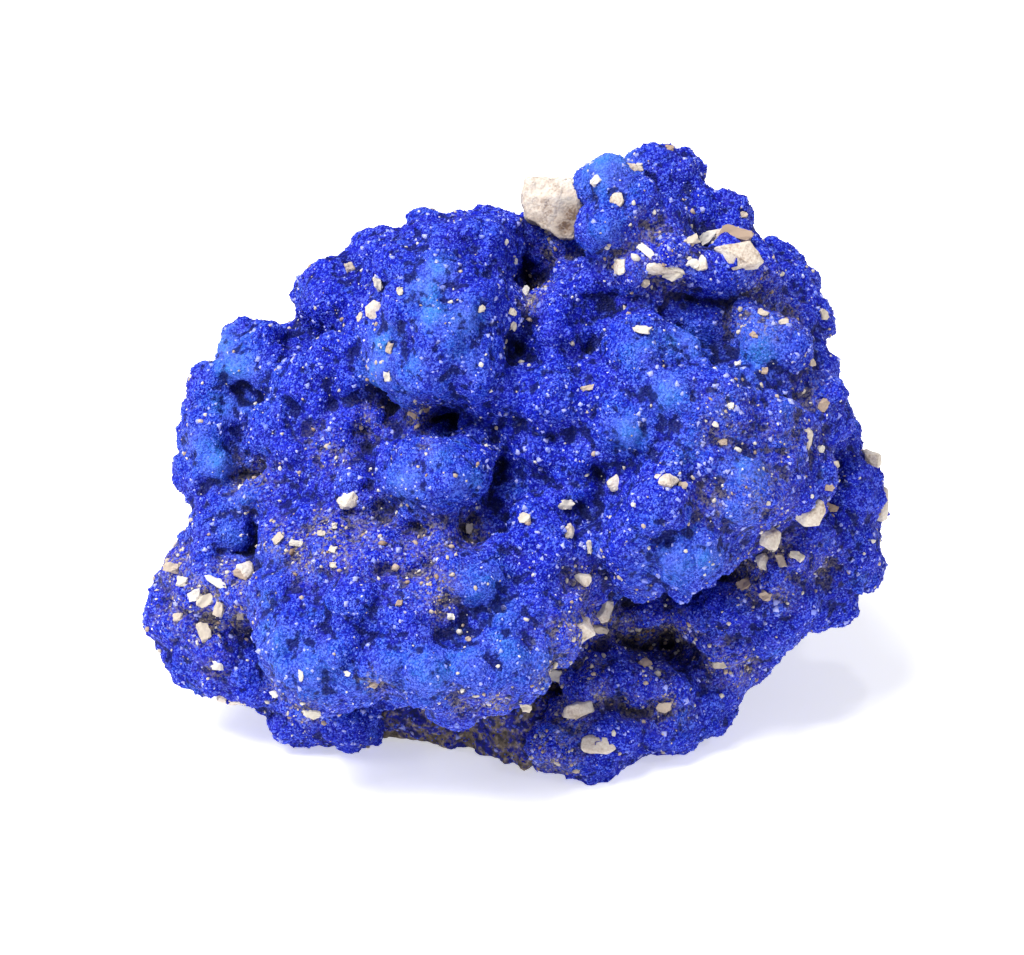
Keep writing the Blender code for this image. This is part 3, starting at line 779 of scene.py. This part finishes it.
flakeShape = {
    "cornerCut": 0.20,
    "thick": 0.7,  # as a share of the shorter side
    "proud": 0.12,  # how far its middle stands out, as a share of the thickness
    "face": 0.8,  # how much of the width and height stays after its corners are moved
    "uneven": 0.55,
    "grain": 0.13,
    "rough": 0.11,
    "smoothBelow": 35,
    "seed": 34,
}
# Flakes of clay set on the skin: across, up, width, height, turn in degrees
flakes = [
    (8.6, 8.9, 1.3, 0.7, 20), (7.4, 8.8, 0.9, 0.5, -30), (6.7, 8.6, 0.8, 0.4, -25),
    (5.0, 8.2, 0.9, 0.35, 40), (6.8, 7.7, 0.5, 0.4, 30), (4.9, 7.0, 0.4, 0.4, 10),
    (8.9, 9.8, 0.4, 0.3, 0), (6.0, 7.3, 0.9, 0.4, -15), (4.8, 5.1, 0.8, 0.35, 10),
    (4.7, 11.7, 0.3, 0.5, 25), (3.0, 11.0, 0.5, 0.4, -40), (6.0, 12.5, 0.4, 0.3, 0),
    (-5.6, 7.0, 0.35, 0.7, -25), (-6.3, 5.6, 0.3, 0.5, 15), (-5.2, 3.3, 0.28, 0.5, -10),
    (-5.1, 4.4, 0.3, 0.5, 20), (-4.7, 6.6, 0.3, 0.35, 0), (-4.2, 1.8, 0.5, 0.3, 20),
    (-3.7, 2.0, 0.35, 0.2, 0), (-6.9, 7.8, 0.4, 0.5, -20), (-1.5, 5.9, 0.3, 0.3, 0),
    (-0.3, 5.8, 0.35, 0.3, 30), (0.2, 6.7, 0.3, 0.5, 20), (-0.3, 5.3, 0.3, 0.4, 0),
    (2.7, 2.8, 0.7, 0.25, -10), (0.2, -2.3, 0.5, 0.45, 0), (1.7, -1.8, 0.8, 0.45, -10),
    (2.7, -3.4, 0.25, 0.6, -10), (9.6, 5.8, 0.5, 0.3, 30), (10.4, 5.4, 0.5, 0.35, -20),
    (9.2, 4.9, 0.4, 0.25, 50), (11.5, 3.9, 0.35, 0.35, 0), (12.0, 2.2, 0.45, 0.55, 30),
    (9.6, 3.5, 0.3, 0.3, 0), (8.6, 3.8, 0.3, 0.25, 0), (12.2, 5.9, 0.4, 0.5, -20),
    (10.4, -4.0, 0.4, 0.65, -15), (11.0, -3.8, 0.6, 0.35, 35), (9.0, -5.0, 0.65, 0.5, -30),
    (9.8, -5.4, 0.5, 0.4, 20), (12.5, -1.9, 0.7, 0.35, 20), (12.2, -1.1, 0.4, 0.3, 0),
    (11.9, 0.4, 0.35, 0.35, 0), (8.2, 2.1, 0.3, 0.3, 0), (7.6, 1.4, 0.3, 0.25, 40),
    (7.9, 0.7, 0.4, 0.3, 0), (8.5, 0.4, 0.35, 0.2, 20), (6.3, -1.0, 0.4, 0.35, 0),
    (0.2, -9.6, 0.7, 0.4, 35), (-0.6, -10.1, 0.6, 0.35, 30), (1.4, -8.6, 0.8, 0.6, 10),
    (1.0, -9.9, 0.6, 0.5, 20), (3.2, -6.8, 0.9, 0.4, 15), (5.0, -8.2, 0.6, 0.5, -40),
    (8.0, -8.2, 0.7, 0.35, -10), (5.8, -9.9, 0.7, 0.5, 0), (-12.0, -4.9, 1.4, 0.35, 25),
    (-12.5, -5.6, 0.9, 0.5, -30), (-12.6, -6.9, 0.6, 0.9, -20), (-14.0, -4.3, 0.8, 0.5, 10),
    (-13.5, -4.9, 0.6, 0.45, 15), (-13.0, -5.4, 0.7, 0.45, -20), (-11.1, -4.6, 0.8, 0.35, 25),
    (-12.0, -5.9, 0.45, 0.7, 10), (-13.7, -6.3, 0.5, 0.35, 0), (-12.1, -8.2, 0.5, 0.4, 0),
    (-9.5, -3.1, 0.6, 0.4, -40), (-8.8, -3.3, 0.6, 0.3, 10), (-7.8, -2.9, 0.35, 0.3, 0),
    (-7.3, -2.6, 0.3, 0.3, 0), (-7.3, -3.5, 0.35, 0.3, 20), (-7.3, -4.1, 0.35, 0.25, 0),
    (-4.7, -5.6, 0.3, 0.3, 0), (-2.7, -6.1, 0.3, 0.3, 0), (-2.0, -7.0, 0.3, 0.25, 0),
    (-5.7, -8.7, 0.4, 0.3, 0), (-6.7, -8.3, 0.3, 0.2, 0), (-8.5, -8.4, 0.22, 0.5, 0),
    (-11.2, -6.2, 0.3, 0.4, 0), (-8.2, -9.9, 0.8, 0.4, 10), (-2.0, -2.7, 0.3, 0.45, 0),
    (-9.6, -9.2, 0.5, 0.3, -20),
]


def clayFlakes(skin):
    # one flake is modelled, then copied to each place on the skin, each copy out of true in its own way
    chance = np.random.default_rng(flakeShape["seed"])
    shape, faces = takeShape(addCutCube(1))
    isCorner = (shape != 0).all(axis=1, keepdims=True)
    shape = shape * (1 - flakeShape["cornerCut"] * isCorner)
    tree = treeOf(skin)
    outward = place(0, 0, 1) - place(0, 0, 0)
    spots, turns, scales = [], [], []
    for across, up, width, height, turn in flakes:
        spot, normal = standOn(tree, across, up)
        if not spot:
            continue
        normal = (normal + outward.normalized()).normalized()
        side = Matrix.Rotation(math.radians(-turn), 3, normal) @ Vector((1, 0, 0))
        side = (side - normal * side.dot(normal)).normalized()
        turns.append(np.array((side, normal.cross(side), normal)).T)
        thick = min(width, height) * flakeShape["thick"]
        spots.append(np.array(spot + normal * thick * flakeShape["proud"] * mm))
        scales.append((width * flakeShape["face"] * mm, height * flakeShape["face"] * mm, thick * mm))
    spots, turns, scales = np.array(spots), np.array(turns), np.array(scales)
    made, cells = copies(shape, faces, spots, turns, scales, chance, flakeShape["uneven"])
    thing = meshFromArrays("clay_flakes", made, cells)
    thing.data.validate()
    addField(thing.data, "tint", np.repeat(chance.random(len(spots)), len(shape)))
    modify(thing, "SUBSURF", subdivision_type="SIMPLE", levels=2, render_levels=2)
    roughen(thing, "flakeGrain", flakeShape["grain"], flakeShape["rough"] * mm)
    smoothBelow(thing, flakeShape["smoothBelow"])
    print("flakes", len(spots), len(thing.data.polygons))
    return thing


# Shares of each chip's length, and angles in degrees
chipShape = {
    "bevel": 0.03,
    "bevelAbove": 20,
    "grain": 0.16,
    "rough": 0.07,
    "middle": 0.42,  # below one half, the chip grows outward a little
    "smoothBelow": 32,
}


def fineChip(node):
    chip = nodeCopy(node, node + "_fine")
    low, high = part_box(node)
    size = (high - low).length
    modify(chip, "BEVEL", width=size * chipShape["bevel"], segments=2, limit_method="ANGLE",
           angle_limit=math.radians(chipShape["bevelAbove"]))
    modify(chip, "TRIANGULATE")
    modify(chip, "SUBSURF", subdivision_type="SIMPLE", levels=2, render_levels=2)
    width, height = size / mm * chipShape["grain"], size * chipShape["rough"]
    roughen(chip, node, width, height, chipShape["middle"], 4)
    smoothBelow(chip, chipShape["smoothBelow"])
    return chip


rockShape = {
    "coarseGrain": 0.25,  # voxels before and after the beads are set
    "grain": 0.14,
    "relief": (("rockLump", 0.9, 0.45), ("rockGrain", 0.25, 0.16)),  # width and height of its roughness
    "seed": 5,
}


def fineMatrix():
    chance = np.random.default_rng(rockShape["seed"])
    rock = joined([nodeCopy("matrix_rock", "matrix_rock_fine")] + fillerBalls("matrix"), "matrix_rock_fine")
    modify(rock, "REMESH", mode="VOXEL", voxel_size=rockShape["coarseGrain"] * mm, adaptivity=0.0)
    sites = beadSites(rock, chipTree(), beads["rock"])
    rock = joined([rock, setBeads(sites, chance)], "matrix_rock_fine")
    modify(rock, "REMESH", mode="VOXEL", voxel_size=rockShape["grain"] * mm, adaptivity=0.0)
    modify(rock, "SMOOTH", factor=0.5, iterations=1)
    for name, width, height in rockShape["relief"]:
        roughen(rock, name, width, height * mm)
    keepAboveFloor(rock)
    activate(rock)
    bpy.ops.object.shade_smooth()
    print("matrix rock", len(rock.data.polygons))
    return rock


# The cream lump: its middle as (across, up, out), and its width, height and thickness
lumpShape = {
    "middle": (1.25, 10.05, -0.6),
    "size": (2.40, 2.45, 2.2),
    # how far the two sides stand across, as shares of the size, from the foot to the top
    "left": [(-0.5, 0.16), (-0.15, -0.46), (0.1, -0.52), (0.5, -0.42)],
    "right": [(-0.5, 0.36), (-0.1, 0.54), (0.5, 0.36)],
    "topFrom": 0.2,  # the height, as a share of the size, from which it is thinner, and by how much
    "topThinner": 0.2,
    "bevel": 0.16,
    "bevelAbove": 25,  # degrees
    "smoothBelow": 40,
    "relief": (("lumpLarge", 0.9, 0.4), ("lumpSmall", 0.20, 0.08)),  # width and height of its roughness
    "stains": [(2.1, 9.8, 0.55, 1.0), (1.8, 9.3, 0.5, 1.0), (0.5, 9.4, 0.4, 0.6)],
}


def lumpInSaddle():
    # a block drawn out to its two sides, beveled and roughened
    lump = addCutCube(2)
    lump.name = "clay_lump_in_saddle_fine"
    x, y, z = getPoints(lump.data).T
    left = np.interp(y, *zip(*lumpShape["left"]))
    right = np.interp(y, *zip(*lumpShape["right"]))
    x = left + (x + 0.5) * (right - left)
    z = z * (1 - lumpShape["topThinner"] * (y > lumpShape["topFrom"]))
    points = np.stack([x, y, z], axis=1) * lumpShape["size"]
    across, up, out = lumpShape["middle"]
    origin = np.array(place(across, up, out))
    sides = np.array([place(*way) - place(0, 0, 0) for way in ((1, 0, 0), (0, 1, 0), (0, 0, 1))])
    setPoints(lump.data, origin + points @ sides)
    modify(lump, "BEVEL", width=lumpShape["bevel"] * mm, segments=2, limit_method="ANGLE",
           angle_limit=math.radians(lumpShape["bevelAbove"]))
    modify(lump, "TRIANGULATE")
    modify(lump, "SUBSURF", subdivision_type="SIMPLE", levels=3, render_levels=3)
    for name, width, height in lumpShape["relief"]:
        roughen(lump, name, width, height * mm)
    addField(lump.data, "stain", spotField(getPoints(lump.data), lumpShape["stains"]))
    smoothBelow(lump, lumpShape["smoothBelow"])
    return lump


class Wire:
    # an output socket that can stand in a sum, such as 1 - mask
    def __init__(self, finish, socket):
        self.finish = finish
        self.socket = socket

    def math(self, operation, first, second=0.0):
        return self.finish.node("ShaderNodeMath", {"operation": operation}, {0: first, 1: second})

    def __add__(self, other):
        return self.math("ADD", self, other)

    def __radd__(self, other):
        return self.math("ADD", other, self)

    def __sub__(self, other):
        return self.math("SUBTRACT", self, other)

    def __rsub__(self, other):
        return self.math("SUBTRACT", other, self)

    def __mul__(self, other):
        return self.math("MULTIPLY", self, other)

    def __rmul__(self, other):
        return self.math("MULTIPLY", other, self)

    def clamped(self):
        return self.finish.node("ShaderNodeClamp", {}, {"Value": self})


class Finish:
    def __init__(self, name):
        self.material = bpy.data.materials.new(name)
        self.material.use_nodes = True
        self.tree = self.material.node_tree
        self.shader = self.tree.nodes["Principled BSDF"]
        self.places = self.node("ShaderNodeTexCoord", {}, {}, "Object")

    def node(self, kind, settings, sockets, output=0):
        made = self.tree.nodes.new(kind)
        for name, value in settings.items():
            if name == "stops":
                while len(made.color_ramp.elements) < len(value):
                    made.color_ramp.elements.new(1.0)
                for element, (spot, colour) in zip(made.color_ramp.elements, value):
                    element.position = spot
                    element.color = (*colour, 1.0)
            else:
                setattr(made, name, value)
        for name, value in sockets.items():
            self.feed(made.inputs[name], value)
        return Wire(self, made.outputs[output])

    def feed(self, target, value):
        if isinstance(value, Wire):
            self.tree.links.new(value.socket, target)
        elif isinstance(value, tuple) and len(value) == 3 and target.type == "RGBA":
            target.default_value = (*value, 1.0)
        else:
            target.default_value = value

    def put(self, **values):
        for name, value in values.items():
            self.feed(self.shader.inputs[name.replace("_", " ")], value)

    def attribute(self, name):
        return self.node("ShaderNodeAttribute", {"attribute_name": name}, {}, "Fac")

    def noise(self, width, detail=2.0):
        return self.node("ShaderNodeTexNoise", {}, {
            "Vector": self.places, "Scale": 1 / (width * mm), "Detail": detail,
        }, "Fac")

    def cells(self, width, output="Color"):
        return self.node("ShaderNodeTexVoronoi", {}, {
            "Vector": self.places, "Scale": 1 / (width * mm), "Randomness": 1.0,
        }, output)

    def range(self, value, low, high, first=0.0, last=1.0):
        return self.node("ShaderNodeMapRange", {}, {
            "Value": value, "From Min": low, "From Max": high, "To Min": first, "To Max": last,
        })

    def mix(self, share, first, second):
        return self.node("ShaderNodeMix", {"data_type": "RGBA"}, {0: share, 6: first, 7: second}, 2)

    def ramp(self, value, stops):
        return self.node("ShaderNodeValToRGB", {"stops": stops}, {0: value}, "Color")

    def bump(self, height, distance):
        sockets = {"Height": height, "Distance": distance * mm, "Strength": 1.0}
        return self.node("ShaderNodeBump", {}, sockets, "Normal")


blue = {
    # painted shade: near-black blue laid into the deepest creases
    "hollow": (0.0015, 0.003, 0.020),
    # painted shade in the azurite's dips; on the rock, the dark end of its blue stains
    "darkBlueAndPitShade": (0.001, 0.003, 0.07),
    "deep": (0.0008, 0.0035, 0.29),
    "mid": (0.005, 0.020, 0.56),
    "powder": (0.075, 0.19, 0.76),
    "teal": (0.040, 0.20, 0.60),
    "violet": (0.060, 0.055, 0.56),
    # painted sparkle: pale crystals stand in for facets that reflect the lamps
    "pale": (0.11, 0.18, 0.80),
    # painted glints: whitish lavender crystals stand in for facets that catch a lamp
    "lilacGlint": (0.45, 0.47, 0.85),
    "dust": (0.44, 0.37, 0.27),
    "dirt": (0.10, 0.085, 0.07),
    "skinDull": 0.6,
    "skinShine": 0.12,
    "skinRelief": 0.05,
    "crystalDull": (0.5, 0.9, 0.5, 0.12),  # a fade, as below: the palest are the smoothest
    "crystalShine": 0.25,
}
# Widths of the blue's patterns, in millimetres
patterns = {
    "fine": 0.16, "powder": 1.4, "hue": 0.9, "gleam": 1.7, "darkBlueAndPitShade": 0.42, "speck": 0.14, "dust": 0.5,
    "dirt": 0.12, "crystal": 0.065, "facet": 0.085,
}
# How strongly a pattern counts beside the one that it is added to
strengths = {
    "fineOnMid": 0.3, "powder": 1.1, "fineOnPowder": 0.4, "crestOnPitShade": 0.8, "crestOnSpeck": 0.5,
    "dust": 0.85, "swellOnHollowShade": 0.6,
}
# Where one colour gives way to the next: the values it runs between, then its shares at the two ends
fades = {
    "mid": (0.06, 0.24),
    "powderPatch": (0.52, 0.75, 0.0, 0.5),
    "powderCrest": (0.04, 0.24, 0.2, 1.0),
    "teal": (0.35, 0.5),
    "violet": (0.5, 0.7, 0.0, 0.5),
    "deepCrystal": (0.32, 0.62, 0.96, 0.0),
    "deepInPowder": (0.2, 1.0, 1.0, 0.4),
    "gleam": (0.42, 0.60, 0.0, 0.03),
    "pale": (0.58, 0.88, 0.0, 0.85),
    "lilacGlint": (0.95, 1.0, 0.0, 0.75),
    "darkBlueAndPitShade": (0.38, 0.48, 0.85, 0.0),
    "speck": (0.50, 0.58),
    "dust": (0.45, 0.60, 0.0, 0.3),
    "dirt": (0.35, 0.65),
    "hollow": (-0.22, -0.50),
}


def azuriteColour(finish, chance):
    # chance is a number from 0 to 1 for each crystal: few are pale, many are deep
    crest, swell, powdery = finish.attribute("crest"), finish.attribute("swell"), finish.attribute("pale")
    fine = finish.noise(patterns["fine"])
    # random tone plus painted shade: the blue is deeper in the dips and lighter on the crests
    crestLitShare = finish.range(crest + strengths["fineOnMid"] * fine, *fades["mid"])
    colour = finish.mix(crestLitShare, blue["deep"], blue["mid"])
    powder = finish.range(finish.noise(patterns["powder"], detail=3.0), *fades["powderPatch"])
    powder = powdery * strengths["powder"] + powder
    powder = powder * finish.range(crest + strengths["fineOnPowder"] * fine, *fades["powderCrest"])
    hue = finish.noise(patterns["hue"])
    powderColour = finish.mix(finish.range(hue, *fades["teal"]), blue["teal"], blue["powder"])
    colour = finish.mix(powder.clamped(), colour, powderColour)
    colour = finish.mix(finish.range(hue, *fades["violet"]), colour, blue["violet"])
    deep = finish.range(chance, *fades["deepCrystal"]) * finish.range(powdery, *fades["deepInPowder"])
    colour = finish.mix(deep, colour, blue["deep"])
    # painted glints: more crystals turn whitish lavender in the gleam spots and in noise patches
    gleam = druse["gleam"] * finish.attribute("gleam")
    gleam = gleam + finish.range(finish.noise(patterns["gleam"]), *fades["gleam"])
    # painted sparkle: pale crystals stand in for facets that reflect the lamps
    colour = finish.mix(finish.range(chance, *fades["pale"]), colour, blue["pale"])
    colour = finish.mix(finish.range(chance + gleam, *fades["lilacGlint"]), colour, blue["lilacGlint"])
    # painted shade: dark blue patches, most of them in the dips, stand in for shaded crevices between crystal
    # clusters
    darkBlueAndPitShade = finish.noise(patterns["darkBlueAndPitShade"], detail=4.0) + strengths["crestOnPitShade"] * crest
    colour = finish.mix(finish.range(darkBlueAndPitShade, *fades["darkBlueAndPitShade"]), colour, blue["darkBlueAndPitShade"])
    speck = finish.range(finish.noise(patterns["speck"]) - strengths["crestOnSpeck"] * crest, *fades["speck"])
    film = finish.range(finish.noise(patterns["dust"], detail=3.0), *fades["dust"])
    dusty = finish.attribute("dust") * speck + finish.attribute("dust") * film
    dirt = finish.range(finish.noise(patterns["dirt"]), *fades["dirt"])
    dustShare = (dusty * strengths["dust"]).clamped()
    colour = finish.mix(dustShare, colour, finish.mix(dirt, blue["dirt"], blue["dust"]))
    # painted shade: the deepest creases, small and large, are darkened to near black
    hollow = finish.range(crest + strengths["swellOnHollowShade"] * swell, *fades["hollow"])
    return finish.mix(hollow, colour, blue["hollow"])


def azuriteFinish():
    finish = Finish("azurite")
    finish.put(
        Base_Color=azuriteColour(finish, finish.cells(patterns["crystal"])),
        Roughness=blue["skinDull"],
        Specular_IOR_Level=blue["skinShine"],
        Normal=finish.bump(finish.cells(patterns["facet"], "Distance"), blue["skinRelief"]),
    )
    return finish.material


def druseFinish():
    finish = Finish("azurite_druse")
    tint = finish.attribute("tint")
    finish.put(
        Base_Color=azuriteColour(finish, tint),
        Roughness=finish.range(tint, *blue["crystalDull"]),
        Specular_IOR_Level=blue["crystalShine"],
    )
    return finish.material


# Each earth colour runs from its darkest to its lightest, with the place of each on the pattern, which is
# so much of a grain and so much of patches. A grain or patch has its width in millimetres and its detail.
earths = {
    "clay": [(0.34, (0.34, 0.25, 0.19)), (0.46, (0.58, 0.49, 0.41)), (0.60, (0.70, 0.64, 0.56))],
    "clayStain": (0.16, 0.10, 0.065),
    "clayStainFade": (0.3, 0.6, 0.7, 1.2),
    "clayGrain": (0.10, 4.0),
    "clayPatch": (0.9, 3.0),
    "clayMix": (0.45, 0.55),
    "clayRelief": 0.05,
    "crumb": [
        (0.0, (0.26, 0.16, 0.1)), (0.35, (0.42, 0.32, 0.25)), (0.7, (0.52, 0.46, 0.38)),
        (1.0, (0.64, 0.6, 0.54)),
    ],
    "crumbLift": 0.15,
    "crumbDirt": 0.3,
    "crumbGrain": 0.1,
    "crumbDull": (0.3, 0.7, 0.6, 0.9),
    "rock": [(0.36, (0.035, 0.025, 0.018)), (0.50, (0.17, 0.13, 0.09)), (0.64, (0.46, 0.38, 0.28))],
    "rockGrain": (0.20, 5.0),
    "rockPatch": (1.1, 3.0),
    "rockMix": (0.6, 0.4),
    "rockStain": (0.3, 4.0),
    "rockStainMix": (0.5, 0.5),
    "rockStainFade": (0.46, 0.54),
    "rockStainDepth": (0.4, 0.6),
    "rockRelief": 0.06,
    "dull": 0.85,
}


def patternOf(grain, patch, mixture):
    return mixture[0] * grain + mixture[1] * patch


def clayFinish():
    finish = Finish("clay")
    grain = finish.noise(*earths["clayGrain"])
    patch = finish.noise(*earths["clayPatch"])
    colour = finish.ramp(patternOf(grain, patch, earths["clayMix"]), earths["clay"])
    stain = (finish.attribute("stain") * finish.range(grain, *earths["clayStainFade"])).clamped()
    colour = finish.mix(stain, colour, earths["clayStain"])
    relieved = finish.bump(grain, earths["clayRelief"])
    finish.put(Base_Color=colour, Roughness=earths["dull"], Normal=relieved)
    return finish.material


def crumbFinish():
    finish = Finish("clay_crumb")
    tint = finish.attribute("tint") - earths["crumbDirt"] * finish.attribute("dust") + earths["crumbLift"]
    dull = finish.range(finish.noise(earths["crumbGrain"]), *earths["crumbDull"])
    finish.put(Base_Color=finish.ramp(tint, earths["crumb"]), Roughness=dull)
    return finish.material


def rockFinish():
    finish = Finish("matrix")
    grain = finish.noise(*earths["rockGrain"])
    patch = finish.noise(*earths["rockPatch"])
    colour = finish.ramp(patternOf(grain, patch, earths["rockMix"]), earths["rock"])
    stain = patternOf(finish.noise(*earths["rockStain"]), patch, earths["rockStainMix"])
    stainShare = finish.range(stain, *earths["rockStainFade"])
    stainColour = finish.mix(finish.range(grain, *earths["rockStainDepth"]), blue["darkBlueAndPitShade"], blue["deep"])
    colour = finish.mix(stainShare, colour, stainColour)
    relieved = finish.bump(grain, earths["rockRelief"])
    finish.put(Base_Color=colour, Roughness=earths["dull"], Normal=relieved)
    return finish.material


def dress(thing, material, slot, *replaced):
    thing.data.materials.clear()
    thing.data.materials.append(material)
    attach(thing, "root")
    if replaced:
        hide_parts(*replaced)


studio = {
    "pixelsPerMm": 25.0,
    "pictureWidth": 1024,
    "lens": 180.0,
    "sensor": 36.0,
    "centreShift": (-8.0, -17.5),  # of the face's origin from the picture's centre, in pixels
    "clip": (0.01, 10.0),
    "world": 0.30,
    "paper": (0.93, 0.93, 0.93),
    "paperDull": 0.9,
    "paperGlow": 0.50,
    "floorWidth": 3.0,
    "aim": (0.0, 0.0, 0.012),
}
# Lights: place, diameter and watts. The sparks are small, so that crystals glint.
lights = {
    "overhead": ((-0.20, -0.10, 0.48), 0.34, 4.0),
    "left": ((-0.45, -0.12, 0.34), 0.30, 0.8),
    "right": ((0.45, -0.05, 0.28), 0.30, 0.25),
    "spark_left": ((-0.20, -0.15, 0.35), 0.03, 0.14),
    "spark_right": ((0.25, -0.20, 0.30), 0.03, 0.14),
    "spark_top": ((0.05, -0.02, 0.40), 0.03, 0.14),
}


def addCamera():
    lean = math.radians(face["lean"])
    back = Vector((0.0, -math.cos(lean), math.sin(lean)))
    far = studio["pictureWidth"] / studio["pixelsPerMm"] * mm * studio["lens"] / studio["sensor"]
    lens = bpy.data.cameras.new("camera")
    lens.lens, lens.sensor_width = studio["lens"], studio["sensor"]
    lens.clip_start, lens.clip_end = studio["clip"]
    lens.shift_x = studio["centreShift"][0] / studio["pictureWidth"]
    lens.shift_y = studio["centreShift"][1] / studio["pictureWidth"]
    camera = bpy.data.objects.new("camera", lens)
    camera.location = Vector(face["origin"]) + back * far
    camera.rotation_euler = (math.radians(90) - lean, 0.0, 0.0)
    bpy.context.scene.collection.objects.link(camera)
    bpy.context.scene.camera = camera


def addLight(name, spot, size, watts):
    lamp = bpy.data.lights.new(name, "AREA")
    lamp.shape, lamp.size, lamp.energy = "DISK", size, watts
    light = bpy.data.objects.new(name, lamp)
    light.location = spot
    light.rotation_euler = (Vector(studio["aim"]) - Vector(spot)).to_track_quat("-Z", "Y").to_euler()
    bpy.context.scene.collection.objects.link(light)


def addStudio():
    deselect()
    bpy.ops.mesh.primitive_plane_add(size=studio["floorWidth"])
    floor = bpy.context.object
    floor.name = "floor"
    paper = Finish("paper")
    paper.put(Base_Color=studio["paper"], Roughness=studio["paperDull"],
              Emission_Color=(1.0, 1.0, 1.0), Emission_Strength=studio["paperGlow"])
    floor.data.materials.append(paper.material)
    world = bpy.data.worlds.new("studio")
    world.use_nodes = True
    world.node_tree.nodes["Background"].inputs["Color"].default_value = (1.0, 1.0, 1.0, 1.0)
    world.node_tree.nodes["Background"].inputs["Strength"].default_value = studio["world"]
    bpy.context.scene.world = world
    for name, (spot, size, watts) in lights.items():
        addLight(name, spot, size, watts)
    bpy.context.scene.view_settings.view_transform = "Standard"


skin, skinFields = azuriteSkin()
crystals = druseParts(skin, skinFields, ("blocks", "splinters"))
crumbPiece = clayCrumbs(skin, skinFields)
clay = clayFinish()
dress(skin, azuriteFinish(), "azurite", "azurite")
druseMaterial = druseFinish()
for crystalPart in crystals:
    dress(crystalPart, druseMaterial, "azurite")
crumbMaterial = crumbFinish()
dress(crumbPiece, crumbMaterial, "clay")
dress(clayFlakes(skin), crumbMaterial, "clay")
for chipNode in chipNames():
    fine = lumpInSaddle() if chipNode == "clay_lump_in_saddle" else fineChip(chipNode)
    dress(fine, clay, "clay", chipNode)
rock = fineMatrix()
for crystalPart in druseParts(rock, plainFields(rock), ("rock",)):
    dress(crystalPart, druseMaterial, "azurite")
dress(rock, rockFinish(), "matrix", "matrix_rock")
print("pieces dressed")
addStudio()
addCamera()
